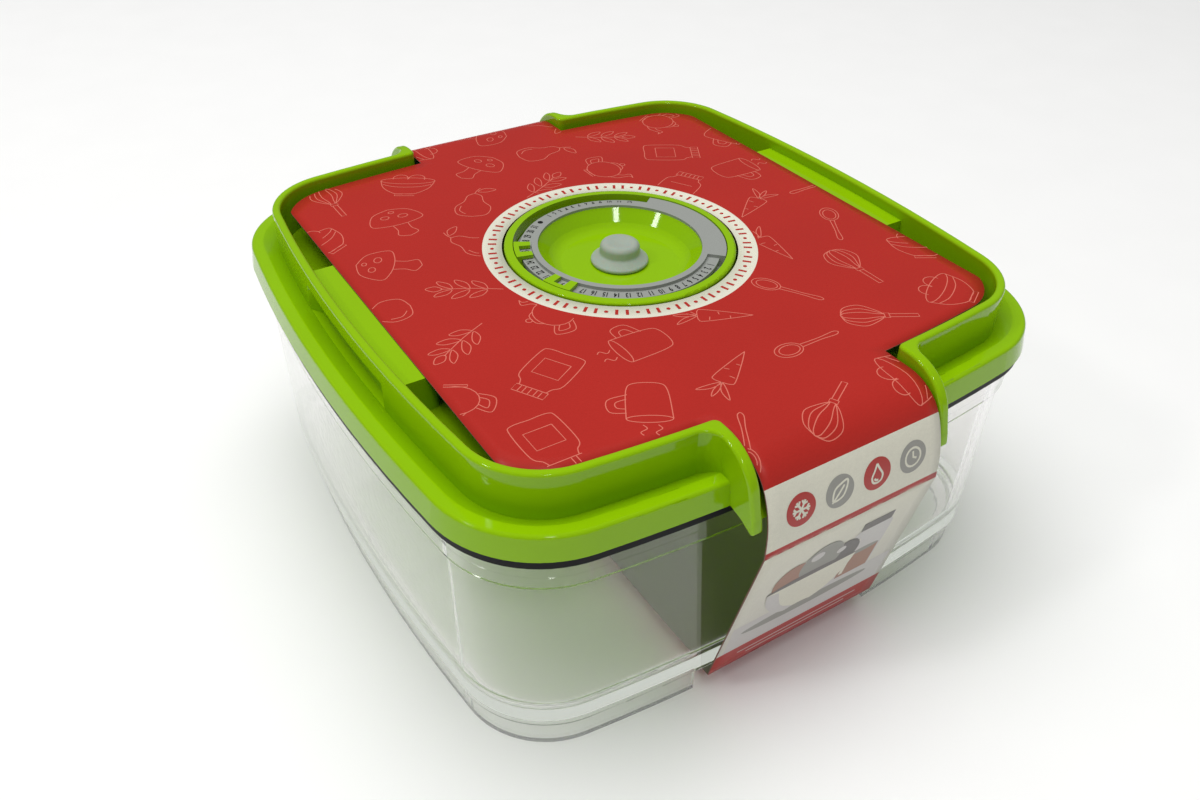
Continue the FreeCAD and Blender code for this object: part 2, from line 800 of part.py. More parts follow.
def sleeve_wrap():
    """Rest of the card sleeve: it widens from the front crease down, runs under the tub and up the rear."""
    body = new_body("sleeve_wrap")
    crease_across, crease_up = strap_line(flush)[-1]
    start = crease_up - s.tear_gap
    foot = half - s.wall_inset_low + s.wrap_foot_gap
    under = s.foot_height - s.card
    outer = [(-crease_across, start), (-foot, under), (foot, under), (crease_across, start)]
    inner_foot = foot - s.card
    inner = [
        (crease_across - s.card, start),
        (inner_foot, s.foot_height),
        (-inner_foot, s.foot_height),
        (-(crease_across - s.card), start),
    ]
    pad(body, loop_sketch(body, "WrapBand", "YZ_Plane", None, outer + inner), s.wrap_width, symmetric=True)
    narrow = s.strap_width / 2
    wide = s.wrap_width / 2
    right = [(narrow, start), (wide, s.foot_height), (wide, start)]
    left = [(-across, up) for across, up in right]
    sides = loop_sketch(body, "WrapSides", "XZ_Plane", None, left, right)
    pocket(body, sides, crease_across * 2, symmetric=True)
    return body


bodies = [
    clear_tub(),
    lid_shell(),
    lid_gasket(),
    date_ring(),
    date_slider("day_slider", s.day_slider_place),
    date_slider("month_slider", s.month_slider_place),
    valve_button(),
    sleeve_top(),
    sleeve_wrap(),
]
doc.recompute()

for thing in doc.Objects:
    if "Invalid" in thing.State or "Error" in thing.State:
        raise RuntimeError(f"{thing.Label} failed: {thing.State}")
os.makedirs("parts", exist_ok=True)
for body in bodies:
    shape = body.Shape
    if shape.isNull() or not shape.isValid():
        raise RuntimeError(f"{body.Label} has no valid solid")
    shape.exportStep(f"parts/{body.Label}.step")
    print(f"{body.Label}: {len(shape.Solids)} solid, {shape.Volume / 1000:.2f} cm3, box {shape.BoundBox}")
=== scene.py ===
"""Looks of a square vacuum food canister: finishes, printed card sleeve, dial numbers, soft valve and studio.

Metres, +Z up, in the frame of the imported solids, with the front at -Y. The card is drawn flat first: u runs
across it, and v along it from the dial, negative towards the front. Then it is folded round the canister.
"""

import math

import bmesh
import bpy
from bpy.props import FloatProperty, FloatVectorProperty, IntProperty, PointerProperty
from bpy.types import Operator, Panel, PropertyGroup
from mathutils import Matrix, Vector, noise


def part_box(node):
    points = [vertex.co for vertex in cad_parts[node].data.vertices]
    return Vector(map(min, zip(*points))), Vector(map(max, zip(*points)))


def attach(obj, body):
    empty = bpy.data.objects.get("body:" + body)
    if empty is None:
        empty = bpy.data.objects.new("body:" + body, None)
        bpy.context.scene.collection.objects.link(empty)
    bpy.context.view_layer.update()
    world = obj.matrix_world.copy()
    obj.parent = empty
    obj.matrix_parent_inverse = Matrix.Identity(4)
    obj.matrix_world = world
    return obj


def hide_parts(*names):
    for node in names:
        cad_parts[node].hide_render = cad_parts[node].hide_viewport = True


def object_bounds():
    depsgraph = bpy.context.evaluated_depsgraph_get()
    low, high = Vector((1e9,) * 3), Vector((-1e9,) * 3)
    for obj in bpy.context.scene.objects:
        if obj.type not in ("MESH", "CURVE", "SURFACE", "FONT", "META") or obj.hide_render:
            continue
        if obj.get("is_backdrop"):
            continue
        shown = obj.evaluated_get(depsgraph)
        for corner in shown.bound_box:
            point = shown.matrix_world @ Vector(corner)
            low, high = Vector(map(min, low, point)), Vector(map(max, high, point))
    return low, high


bl_info = {
    "name": "Vacuum canister looks",
    "version": (1, 0, 0),
    "blender": (4, 5, 0),
    "location": "3D View > Sidebar > Canister",
    "description": "Finishes, printed sleeve, dial numbers and studio for a square vacuum food canister",
    "category": "Object",
}

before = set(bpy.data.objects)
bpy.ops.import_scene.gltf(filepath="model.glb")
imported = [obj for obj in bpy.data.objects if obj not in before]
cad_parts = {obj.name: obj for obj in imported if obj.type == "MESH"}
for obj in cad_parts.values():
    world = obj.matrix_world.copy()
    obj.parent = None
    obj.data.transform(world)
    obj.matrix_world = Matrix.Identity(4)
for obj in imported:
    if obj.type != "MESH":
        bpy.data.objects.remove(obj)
CAD_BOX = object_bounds()
MM = 0.001
# Points closer than this are one point
TOUCH = 0.001 * MM


def amount(name, description, default, **kind):
    return FloatProperty(name=name, description=description, default=default, **kind)


def length(name, description, millimetres):
    return amount(name, description, millimetres * MM, unit="LENGTH", precision=4)


def angle(name, description, degrees):
    return amount(name, description, math.radians(degrees), subtype="ANGLE")


def screen_to_linear(level):
    share = level / 255
    return share / 12.92 if share <= 0.04045 else ((share + 0.055) / 1.055) ** 2.4


def colour(name, description, *levels):
    """A colour given by its red, green and blue screen levels, from 0 to 255."""
    return FloatVectorProperty(
        name=name,
        description=description,
        default=[screen_to_linear(level) for level in levels],
        subtype="COLOR",
        min=0,
        max=1,
    )


class FinishColours(PropertyGroup):
    """Colours of the canister's plastics, rubbers, card and inks."""

    lime: colour("Lime", "Lid and sliders", 137, 183, 4)
    clear: colour("Clear", "Tint of the clear tub", 251, 249, 250)
    # Painted shade: the dark band painted on the clear wall along its seam with the foot
    seam: colour("Seam", "Shaded seam between the clear wall and its foot", 96, 99, 92)
    gasket: colour("Gasket", "Rubber of the lid's seal", 20, 19, 22)
    dial: colour("Dial", "Date ring", 150, 153, 148)
    valve: colour("Valve", "Soft silicone of the air valve", 160, 170, 158)
    ink: colour("Ink", "Numbers on the dial", 22, 23, 22)
    red: colour("Red", "Printed field of the sleeve", 174, 41, 34)
    line: colour("Line", "Line drawings on the red field", 216, 116, 100)
    paper: colour("Paper", "Unprinted face of the sleeve", 221, 219, 202)
    board: colour("Board", "Inside of the sleeve's card", 122, 119, 104)
    cut_edge: colour("Cut edge", "Cut edge of the sleeve's card", 128, 92, 82)
    dark: colour("Dark", "Dark grey ink of the still life", 112, 108, 106)
    grey: colour("Grey", "Grey ink of the signs and the still life", 150, 149, 142)
    pale: colour("Pale", "Pale grey ink of the still life", 202, 199, 196)
    wood: colour("Wood", "Warm brown ink of the still life", 164, 124, 106)
    floor: colour("Floor", "Studio floor", 250, 250, 249)


class TubSizes(PropertyGroup):
    """Where the painted shade band lies along the seam round the base of the clear wall."""

    seam_level: length("Seam level", "Middle of the seam", 9.8)
    seam_half: length("Seam half", "Half width of the seam, with its soft edge", 0.65)


class DialSizes(PropertyGroup):
    """Places and sizes of the numbers on the date ring."""

    radius: length("Radius", "Circle that the numbers stand on", 29.2)
    height: length("Height", "Type size of the numbers", 3.2)
    narrow: amount("Narrow", "Width of the numbers against their type", 0.58, min=0.1)
    bold: length("Bold", "Ink added round each stroke", 0.08)
    print_depth: length("Print depth", "Height of the ink over the track", 0.02)
    track_drop: length("Track drop", "Number track below the ring's lip", 1.0)
    first_day: angle("First day", "Place of day 1", -54.7)
    first_month: angle("First month", "Place of month 1", 107.9)
    digit: angle("Digit", "Turn that one digit takes up", 1.72)
    gap: angle("Gap", "Turn between two numbers", 3.06)
    dot_place: angle("Dot", "Place of the dot between days and months", 118.0)
    dot_share: amount("Dot size", "Radius of the dot against the type size", 0.28, min=0)


class ValveSizes(PropertyGroup):
    """Profile of the soft valve above and below the bowl's floor."""

    floor: length("Floor", "Level of the bowl's floor", 84.8)
    cap_radius: length("Cap radius", "Grip cap", 6.2)
    cap_height: length("Cap height", "Top of the cap over the floor", 6.8)
    cap_round: length("Cap round", "Round of the cap's top edge", 1.7)
    flange_radius: length("Flange radius", "Sealing flange", 9.0)
    flange_edge: length("Flange edge", "Thickness at the flange's edge", 1.6)
    neck_rise: length("Neck rise", "Foot of the cap over the flange's edge", 1.3)
    neck_round: length("Neck round", "Round between the cap and the flange", 0.9)
    dimple_radius: length("Dimple radius", "Shallow dish in the cap's top", 3.6)
    dimple_depth: length("Dimple depth", "Depth of that dish", 0.22)
    dimple_flat: amount("Dimple flat", "Flat part of that dish, as a share of its radius", 0.85, min=0, max=1)
    stem_radius: length("Stem radius", "Stem through the bowl's floor", 2.1)
    bulb_radius: length("Bulb radius", "Bulb that holds the valve in the lid", 3.6)
    bulb_start: amount("Bulb start", "Share of the stem's length above the bulb", 0.62, min=0, max=1)
    bulb_widest: amount("Bulb width", "Share of the stem's length above its widest place", 0.72, min=0, max=1)


class SleeveSizes(PropertyGroup):
    """The card sleeve: its flat outline, its folds and its print."""

    card: length("Card", "Thickness of the card", 0.45)
    panel_half: length("Panel half", "Half length of the top panel", 85.6)
    panel_side: length("Panel side", "Half width between the top panel's straight sides", 80.2)
    panel_bow: length("Panel bow", "Radius of the top panel's bowed ends", 565.6)
    panel_corner: length("Panel corner", "Radius of the top panel's corners", 18.1)
    hole: length("Hole", "Radius of the hole round the dial's collar", 36.4)
    ring_width: length("Ring width", "Plain printed ring round the hole", 6.0)
    strap_width: length("Strap width", "Width between the ears", 57.2)
    wrap_width: length("Wrap width", "Width at the foot", 62.0)
    strap_flat: length("Strap flat", "Half length of the level part", 93.6)
    strap_lead: length("Strap lead", "Card before the end of the level part where a strap starts", 6.0)
    shoulder_radius: length("Shoulder radius", "First bend over the tab", 14.0)
    shoulder_bend: angle("Shoulder bend", "Turn of the first bend", 65.0)
    nose_radius: length("Nose radius", "Second bend over the tab", 35.0)
    nose_bend: angle("Nose bend", "Slope where the second bend ends", 88.0)
    tail: length("Tail", "Straight end above the crease", 4.3)
    flare: length("Flare", "Card above the crease where the strap starts to widen", 12.9)
    foot_reach: length("Foot reach", "Fold under the tub, from the middle", 97.0)
    red_end: length("Red end", "Card past the level part where the red field ends", 14.3)
    stripe: length("Stripe", "Red stripe above the crease", 2.0)
    band: length("Band", "Red band above the foot", 9.6)
    wear: length("Wear", "Worn strip on each side of a crease", 0.7)
    wave: length("Wave", "Unevenness of the level part", 0.16)
    wave_count: amount("Wave count", "Uneven places in a metre of card", 26.0, min=0)
    line: length("Line", "Width of the drawn lines", 0.27)
    motif: length("Motif", "Size of one drawing", 23.0)
    pitch: length("Pitch", "Distance between drawings", 26.5)
    margin: length("Margin", "Gap between the drawings and the edge of the red field", 0.4)
    ring_margin: length("Ring margin", "Gap between the drawings and the printed ring", 0.6)
    ink_lift: length("Ink lift", "Height of the ink over the card", 0.035)
    marks: IntProperty(name="Marks", description="Marks round the printed ring", default=84, min=0)
    mark_dot: length("Mark dot", "Radius of the dots round the printed ring", 0.6)
    mark_bar: length("Mark bar", "Width of the bars round the printed ring", 0.9)
    mark_reach: length("Mark reach", "Half length of those bars", 1.3)
    sign: length("Sign", "Radius of the round signs on the white panels", 4.6)
    sign_pitch: length("Sign pitch", "Distance between the round signs", 12.4)
    sign_line: length("Sign line", "Width of the lines in the round signs", 0.62)
    scene: length("Scene", "Width of the still life on the wrap", 46.0)


class EarSizes(PropertyGroup):
    """The tapered tips below the ears of the lid's tabs, measured from the middle and from the floor."""

    outside: length("Outside", "Outer face of an ear", 32.56)
    inside: length("Inside", "Inner face of an ear", 29.44)
    heel: length("Heel", "Where the tip's underside starts", 99.9)
    heel_level: length("Heel level", "Level of that start", 76.5)
    point: length("Point", "Reach of the tip's lowest edge", 107.3)
    point_level: length("Point level", "Level of the lowest edge", 72.9)
    nose: length("Nose", "Reach of the tip's front", 108.1)
    nose_level: length("Nose level", "Level where the front ends", 73.8)
    brow: length("Brow", "Reach of the front inside the ear", 107.3)
    brow_level: length("Brow level", "Level of the front inside the ear", 77.9)
    edge_round: length("Edge round", "Round of the tip's edges", 0.55)


class StudioSettings(PropertyGroup):
    """Camera and lights."""

    position: FloatVectorProperty(
        name="Camera", description="Camera position", default=(-0.15343, -0.22963, 0.24198), subtype="XYZ"
    )
    azimuth: angle("Azimuth", "Camera's turn round the canister", -32.63)
    elevation: angle("Elevation", "Camera's slope above the floor", 37.53)
    roll: angle("Roll", "Camera's roll", 0.93)
    lens: amount("Lens", "Focal length in millimetres", 30.20, subtype="DISTANCE_CAMERA")
    sensor: amount("Sensor", "Sensor width in millimetres", 36.0, subtype="DISTANCE_CAMERA")
    floor_radius: amount("Floor", "Radius of the round floor", 1.25, unit="LENGTH")
    ambient: amount("Ambient", "Strength of the even light", 0.15, min=0)
    backdrop: amount("Backdrop", "Brightness of the room behind the canister", 0.86, min=0)
    overhead: amount("Overhead", "Power of the overhead softbox", 66.0, unit="POWER")
    panel: amount("Panels", "Power of each small ceiling panel", 2.2, unit="POWER")


def put(tree, kind, inputs=None, **settings):
    """A new node with its settings, and its inputs linked to sockets or set to values."""
    node = tree.nodes.new(kind)
    for key, value in settings.items():
        setattr(node, key, value)
    for key, value in (inputs or {}).items():
        if isinstance(value, bpy.types.NodeSocket):
            tree.links.new(value, node.inputs[key])
        else:
            node.inputs[key].default_value = value
    return node


def reckon(tree, operation, *values):
    """Output of a Math node."""
    return put(tree, "ShaderNodeMath", dict(enumerate(values)), operation=operation).outputs[0]


def mixed(tree, share, first, second, blend="MIX"):
    """Output of a colour Mix node."""
    node = put(tree, "ShaderNodeMix", {0: share, 6: first, 7: second}, data_type="RGBA", blend_type=blend)
    return node.outputs[2]


def spread(tree, value, low, high, to_low, to_high):
    """Output of a Map Range node."""
    return put(tree, "ShaderNodeMapRange", {0: value, 1: low, 2: high, 3: to_low, 4: to_high}).outputs[0]


def noise_value(tree, spots, scale, detail=2.0, stretch=None):
    """Noise over Object coordinates, in cells per metre, drawn out along an axis where stretch is given."""
    if stretch is not None:
        spots = put(tree, "ShaderNodeMapping", {"Vector": spots, "Scale": stretch}).outputs[0]
    node = put(tree, "ShaderNodeTexNoise", {"Vector": spots, "Scale": scale, "Detail": detail})
    return node.outputs["Fac"]


def swing(tree, spots, scale, detail):
    """Noise that swings about zero."""
    return reckon(tree, "SUBTRACT", noise_value(tree, spots, scale, detail), 0.5)


def opaque(tint):
    return (*tint, 1.0)


def new_group(name, inputs, outputs):
    """An empty shader node group with its sockets, its input node and its output node."""
    group = bpy.data.node_groups.new(name, "ShaderNodeTree")
    for label, kind, default in inputs:
        group.interface.new_socket(label, in_out="INPUT", socket_type=kind).default_value = default
    for label, kind in outputs:
        group.interface.new_socket(label, in_out="OUTPUT", socket_type=kind)
    return group, group.nodes.new("NodeGroupInput").outputs, group.nodes.new("NodeGroupOutput").inputs


SURFACE_OUTPUTS = (
    ("Color", "NodeSocketColor"),
    ("Roughness", "NodeSocketFloat"),
    ("Normal", "NodeSocketVector"),
)
MID_GREY = (0.5, 0.5, 0.5, 1.0)
# Depth of the relief of moulded surfaces and of card
PEEL_DEPTH = 0.4 * MM
FIBRE_DEPTH = 0.1 * MM
# Light in the clear tub: the tint of what passes through, the painted glow (an emission) that stands in for
# light carried along a thick edge, and the bounces after which a ray counts as caught between a wall's two
# faces
PASSED_LIGHT = (0.95, 0.96, 0.95, 1.0)
PAINTED_EDGE_GLOW = (0.60, 0.64, 0.58, 1.0)
CAUGHT_AFTER = 5.0


def close_group(group, given, result, tone, rough, bump):
    """Wire the toned tint, the roughness and the relief to a surface group's outputs."""
    toned = put(group, "ShaderNodeVectorMath", {0: given["Tint"], "Scale": tone}, operation="SCALE")
    group.links.new(toned.outputs[0], result["Color"])
    group.links.new(rough, result["Roughness"])
    group.links.new(bump.outputs[0], result["Normal"])
    return group


def moulded_skin():
    """Moulded plastic or rubber: drifting tone, fine specks, smudges and an orange-peel surface."""
    name = "moulded_skin"
    if name in bpy.data.node_groups:
        return bpy.data.node_groups[name]
    inputs = (
        ("Tint", "NodeSocketColor", MID_GREY),
        ("Drift", "NodeSocketFloat", 0.08),
        ("Specks", "NodeSocketFloat", 0.05),
        ("Roughness", "NodeSocketFloat", 0.3),
        ("Smudges", "NodeSocketFloat", 0.1),
        ("Peel", "NodeSocketFloat", 0.1),
    )
    group, given, result = new_group(name, inputs, SURFACE_OUTPUTS)
    spots = put(group, "ShaderNodeTexCoord").outputs["Object"]
    drift = swing(group, spots, scale=22.0, detail=3.0)
    specks = swing(group, spots, scale=2600.0, detail=1.0)
    smudges = swing(group, spots, scale=38.0, detail=4.0)
    peel = noise_value(group, spots, scale=420.0)
    tone = reckon(group, "ADD", reckon(group, "MULTIPLY", drift, given["Drift"]), 1.0)
    tone = reckon(group, "ADD", tone, reckon(group, "MULTIPLY", specks, given["Specks"]))
    rubbed = reckon(group, "MULTIPLY", smudges, given["Smudges"])
    rough = reckon(group, "ADD", given["Roughness"], rubbed)
    relief = {"Strength": given["Peel"], "Distance": PEEL_DEPTH, "Height": peel}
    return close_group(group, given, result, tone, rough, put(group, "ShaderNodeBump", relief))


def card_grain():
    """Printed card: ink that sits unevenly on short fibres, with a faint calendered surface."""
    name = "card_grain"
    if name in bpy.data.node_groups:
        return bpy.data.node_groups[name]
    inputs = (
        ("Tint", "NodeSocketColor", MID_GREY),
        ("Fibre", "NodeSocketFloat", 0.1),
        ("Roughness", "NodeSocketFloat", 0.4),
        ("Relief", "NodeSocketFloat", 0.1),
    )
    group, given, result = new_group(name, inputs, SURFACE_OUTPUTS)
    spots = put(group, "ShaderNodeTexCoord").outputs["Object"]
    fibres = noise_value(group, spots, scale=900.0, detail=4.0, stretch=(1.0, 2.6, 1.0))
    ink = noise_value(group, spots, scale=3200.0, detail=1.0)
    cloud = swing(group, spots, scale=30.0, detail=2.0)
    uneven = reckon(group, "SUBTRACT", reckon(group, "ADD", fibres, ink), 1.0)
    uneven = reckon(group, "ADD", uneven, cloud)
    tone = reckon(group, "ADD", reckon(group, "MULTIPLY", uneven, given["Fibre"]), 1.0)
    rough = reckon(group, "ADD", given["Roughness"], reckon(group, "MULTIPLY", uneven, 0.12))
    relief = {"Strength": given["Relief"], "Distance": FIBRE_DEPTH, "Height": fibres}
    return close_group(group, given, result, tone, rough, put(group, "ShaderNodeBump", relief))


def new_finish(name):
    finish = bpy.data.materials.new(name)
    finish.use_nodes = True
    tree = finish.node_tree
    return finish, tree, tree.nodes["Principled BSDF"]


def coat_surface(tree, shader, group, inputs):
    """Wire a surface group's colour, roughness and normal into the shader."""
    skin = put(tree, "ShaderNodeGroup", inputs, node_tree=group)
    tree.links.new(skin.outputs["Color"], shader.inputs["Base Color"])
    tree.links.new(skin.outputs["Roughness"], shader.inputs["Roughness"])
    tree.links.new(skin.outputs["Normal"], shader.inputs["Normal"])


def set_inputs(shader, values):
    """Set the shader's own sockets to what is the same all over the surface."""
    for label, value in values.items():
        shader.inputs[label].default_value = value


def moulded_finish(name, tint, drift, specks, roughness, smudges, peel, shine=0.5, soft=0.0):
    """A moulded plastic or rubber finish, waxier with some soft depth."""
    finish, tree, shader = new_finish(name)
    inputs = {
        "Tint": opaque(tint),
        "Drift": drift,
        "Specks": specks,
        "Roughness": roughness,
        "Smudges": smudges,
        "Peel": peel,
    }
    coat_surface(tree, shader, moulded_skin(), inputs)
    plain = {"IOR": 1.5, "Specular IOR Level": shine, "Subsurface Weight": soft, "Subsurface Scale": 2 * MM}
    set_inputs(shader, plain)
    return finish


def card_finish(name, tint, fibre, roughness, relief):
    finish, tree, shader = new_finish(name)
    inputs = {"Tint": opaque(tint), "Fibre": fibre, "Roughness": roughness, "Relief": relief}
    coat_surface(tree, shader, card_grain(), inputs)
    return finish


def clear_finish(tint, seam, sizes):
    """Clear moulded plastic with faint flow marks, which lets light through to what stands inside.

    Caught rays between a wall's two faces get pale painted light from an emission; painted shade darkens the
    seam.
    """
    finish, tree, shader = new_finish("clear_plastic")
    spots = put(tree, "ShaderNodeTexCoord").outputs["Object"]
    level = put(tree, "ShaderNodeSeparateXYZ", {0: spots}).outputs["Z"]
    # Painted shade: a dark band on the clear wall along the seam above its foot
    off_seam = reckon(tree, "ABSOLUTE", reckon(tree, "SUBTRACT", level, sizes.seam_level))
    painted_seam_shade = spread(tree, off_seam, sizes.seam_half / 2, sizes.seam_half, 1.0, 0.0)
    inputs = {
        "Tint": mixed(tree, painted_seam_shade, opaque(tint), opaque(seam)),
        "Drift": 0.02,
        "Specks": 0.0,
        "Roughness": 0.03,
        "Smudges": 0.05,
        "Peel": 0.03,
    }
    coat_surface(tree, shader, moulded_skin(), inputs)
    set_inputs(shader, {"IOR": 1.49, "Transmission Weight": 1.0})
    path = put(tree, "ShaderNodeLightPath")
    through = put(tree, "ShaderNodeBsdfTransparent", {"Color": PASSED_LIGHT})
    passing = reckon(tree, "MAXIMUM", path.outputs["Is Shadow Ray"], path.outputs["Is Diffuse Ray"])
    mix = put(tree, "ShaderNodeMixShader", {0: passing, 1: shader.outputs[0], 2: through.outputs[0]})
    # Painted light: an emission gives caught rays the glow of a thick clear edge
    painted_glow = put(tree, "ShaderNodeEmission", {"Color": PAINTED_EDGE_GLOW, "Strength": 1.0})
    caught = reckon(tree, "GREATER_THAN", path.outputs["Ray Depth"], CAUGHT_AFTER)
    caught = reckon(tree, "MULTIPLY", caught, reckon(tree, "SUBTRACT", 1.0, passing))
    mix = put(tree, "ShaderNodeMixShader", {0: caught, 1: mix.outputs[0], 2: painted_glow.outputs[0]})
    tree.links.new(mix.outputs[0], tree.nodes["Material Output"].inputs["Surface"])
    return finish


def printed_finish(colours, sizes, fold):
    """Red card with the plain ring, the front and rear panels, the stripe and the band.

    They are placed on the flat card, and the print is worn along the creases.
    """
    finish, tree, shader = new_finish("printed_card")
    flat = put(tree, "ShaderNodeUVMap", uv_map="flat").outputs[0]
    place = put(tree, "ShaderNodeSeparateXYZ", {0: flat})
    from_dial = put(tree, "ShaderNodeVectorMath", {0: flat}, operation="LENGTH").outputs["Value"]
    along = reckon(tree, "ABSOLUTE", place.outputs["Y"])
    ring = reckon(tree, "LESS_THAN", from_dial, sizes.hole + sizes.ring_width)
    panel = reckon(tree, "GREATER_THAN", along, sizes.strap_flat + sizes.red_end)
    above_stripe = reckon(tree, "LESS_THAN", along, fold.crease - sizes.stripe)
    below_stripe = reckon(tree, "GREATER_THAN", along, fold.crease)
    above_band = reckon(tree, "LESS_THAN", along, fold.foot - sizes.band)
    off_stripe = reckon(tree, "ADD", above_stripe, below_stripe)
    bare = reckon(tree, "MULTIPLY", reckon(tree, "MULTIPLY", panel, off_stripe), above_band)
    bare = reckon(tree, "MAXIMUM", bare, ring)
    haze = spread(tree, along, low=fold.crease, high=fold.foot - sizes.band, to_low=0.0, to_high=0.6)
    paper = mixed(tree, haze, opaque(colours.paper), opaque(colours.pale))
    tint = mixed(tree, bare, opaque(colours.red), paper)
    spots = put(tree, "ShaderNodeTexCoord").outputs["Object"]
    scuffs = noise_value(tree, spots, scale=240.0, detail=5.0)
    scuffs = spread(tree, scuffs, low=0.45, high=0.6, to_low=0.0, to_high=0.8)
    to_crease = reckon(tree, "ABSOLUTE", reckon(tree, "SUBTRACT", along, fold.crease))
    near_crease = spread(tree, to_crease, low=0.0, high=sizes.wear, to_low=1.0, to_high=0.0)
    worn = reckon(tree, "MULTIPLY", near_crease, scuffs)
    tint = mixed(tree, worn, tint, opaque(colours.paper))
    inputs = {"Tint": tint, "Fibre": 0.13, "Roughness": 0.38, "Relief": 0.22}
    coat_surface(tree, shader, card_grain(), inputs)
    set_inputs(shader, {"Specular IOR Level": 0.32})
    return finish


def add_piece(name, bm, body, finishes, stands_for=()):
    """A piece made from a bmesh, which rides on a body and may stand for solids of the frame."""
    mesh = bpy.data.meshes.new(name)
    bm.to_mesh(mesh)
    bm.free()
    for finish in finishes:
        mesh.materials.append(finish)
    piece = bpy.data.objects.new(name, mesh)
    bpy.context.scene.collection.objects.link(piece)
    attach(piece, body)
    if stands_for:
        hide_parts(*stands_for)
    return piece


def dress_node(node, finish):
    """Give a solid of the frame its finish."""
    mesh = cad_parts[node].data
    mesh.materials.clear()
    mesh.materials.append(finish)


def only_verts(items):
    return [item for item in items if isinstance(item, bmesh.types.BMVert)]


def shade_smooth(bm):
    for face in bm.faces:
        face.smooth = True


def extrude_row(bm, edges):
    """Extrude a row of edges in place, and return the new edges and their vertices."""
    made = bmesh.ops.extrude_edge_only(bm, edges=edges)["geom"]
    rim = only_verts(made)
    inside = set(rim)
    row = [item for item in made if isinstance(item, bmesh.types.BMEdge) and set(item.verts) <= inside]
    return row, rim


def steps(first, last, count):
    """Even steps from first, up to but without last."""
    return [first + (last - first) * index / count for index in range(count)]


class Fold:
    """Where each point of the flat card lies once the sleeve is folded round the canister."""

    def __init__(self, sizes):
        self.sizes = sizes
        self.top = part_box("sleeve_top")[1].z - sizes.ink_lift
        self.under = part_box("sleeve_wrap")[0].z
        self.first = sizes.shoulder_radius * sizes.shoulder_bend
        self.second = self.first + sizes.nose_radius * (sizes.nose_bend - sizes.shoulder_bend)
        self.drop = self.second + sizes.tail
        across, up, _ = self.side_view(self.drop)
        self.face = Vector((sizes.foot_reach - across, self.under - up))
        self.crease = sizes.strap_flat + self.drop
        self.foot = self.crease + self.face.length
        self.middle = self.foot + sizes.foot_reach

    def side_view(self, past):
        """Reach, level and slope of the outer face, past the level part by a length of card."""
        sizes = self.sizes
        turn = min(past / sizes.shoulder_radius, sizes.shoulder_bend)
        across = sizes.strap_flat + sizes.shoulder_radius * math.sin(turn)
        up = self.top - sizes.shoulder_radius * (1 - math.cos(turn))
        if past <= self.first:
            return across, up, turn
        slope = min(turn + (past - self.first) / sizes.nose_radius, sizes.nose_bend)
        across += sizes.nose_radius * (math.sin(slope) - math.sin(turn))
        up -= sizes.nose_radius * (math.cos(turn) - math.cos(slope))
        straight = max(0.0, min(past, self.drop) - self.second)
        across += straight * math.cos(slope)
        up -= straight * math.sin(slope)
        if past <= self.drop:
            return across, up, slope
        share = min(past - self.drop, self.face.length) / self.face.length
        across += self.face.x * share
        up += self.face.y * share
        if share < 1:
            return across, up, math.atan2(-self.face.y, self.face.x)
        return across - (past - self.drop - self.face.length), up, math.pi

    def wave(self, u, v):
        """Unevenness of the level card, which dies out towards the straps."""
        calm = max(0.0, 1 - (abs(v) / self.sizes.strap_flat) ** 4)
        return self.sizes.wave * calm * noise.noise(Vector((u, v, 0.0)) * self.sizes.wave_count)

    def point(self, u, v, lift=0.0):
        """Place of a point of the flat card, lifted off its outer face."""
        side = math.copysign(1, v)
        past = abs(v) - self.sizes.strap_flat
        if past <= 0:
            return Vector((u, v, self.top + self.wave(u, v) + lift))
        across, up, slope = self.side_view(past)
        return Vector((u, side * (across + lift * math.sin(slope)), up + lift * math.cos(slope)))

    def half_width(self, v):
        """Half the width of the strap, which widens from the tab's nose to the foot."""
        sizes = self.sizes
        start = self.crease - sizes.flare
        share = max(0.0, min(1.0, (abs(v) - start) / (self.foot - start)))
        return (sizes.strap_width + (sizes.wrap_width - sizes.strap_width) * share) / 2


def panel_outline(sizes):
    """Outline of the top panel, counter-clockwise from the right, with points at the straps' edges."""
    reach = sizes.panel_bow - sizes.panel_half
    spread_out = sizes.panel_bow - sizes.panel_corner
    bend = (math.sqrt(2 * spread_out**2 - reach**2) - reach) / 2
    lean = math.atan2(bend, bend + reach)
    strap = math.asin(sizes.strap_width / 2 / sizes.panel_bow)
    beside, between, round_corner = 8, 16, 12
    tilts = steps(-lean, -strap, beside) + steps(-strap, strap, between) + steps(strap, lean, beside)
    spots = []
    for quarter in range(4):
        turn = Matrix.Rotation(quarter * math.pi / 2, 2)
        for tilt in tilts:
            spot = Vector((math.cos(tilt), math.sin(tilt))) * sizes.panel_bow
            spots.append(turn @ (spot - Vector((reach, 0))))
        for tilt in steps(lean, math.pi / 2 - lean, round_corner):
            spot = Vector((math.cos(tilt), math.sin(tilt))) * sizes.panel_corner
            spots.append(turn @ (spot + Vector((bend, bend))))
    for spot in spots:
        spot.x = max(-sizes.panel_side, min(sizes.panel_side, spot.x))
    return spots


def fold_card(bm, fold):
    """Keep the flat place of each vertex in a UV map, then fold the card."""
    flat = bm.loops.layers.uv.new("flat")
    shade_smooth(bm)
    for face in bm.faces:
        for corner in face.loops:
            corner[flat].uv = corner.vert.co.xy
    for vert in bm.verts:
        vert.co = fold.point(vert.co.x, vert.co.y)


def thicken_card(piece, thickness):
    """Give the printed face its board behind and its cut edge."""
    solid = piece.modifiers.new("Card", "SOLIDIFY")
    solid.thickness = thickness
    solid.offset = -1
    solid.material_offset = 1
    solid.material_offset_rim = 2


def turn_outward(bm):
    """Turn over each face that looks towards the canister's core."""
    core = (CAD_BOX[0] + CAD_BOX[1]) / 2
    bm.normal_update()
    inward = [face for face in bm.faces if face.normal.dot(face.calc_center_median() - core) < 0]
    bmesh.ops.reverse_faces(bm, faces=inward)


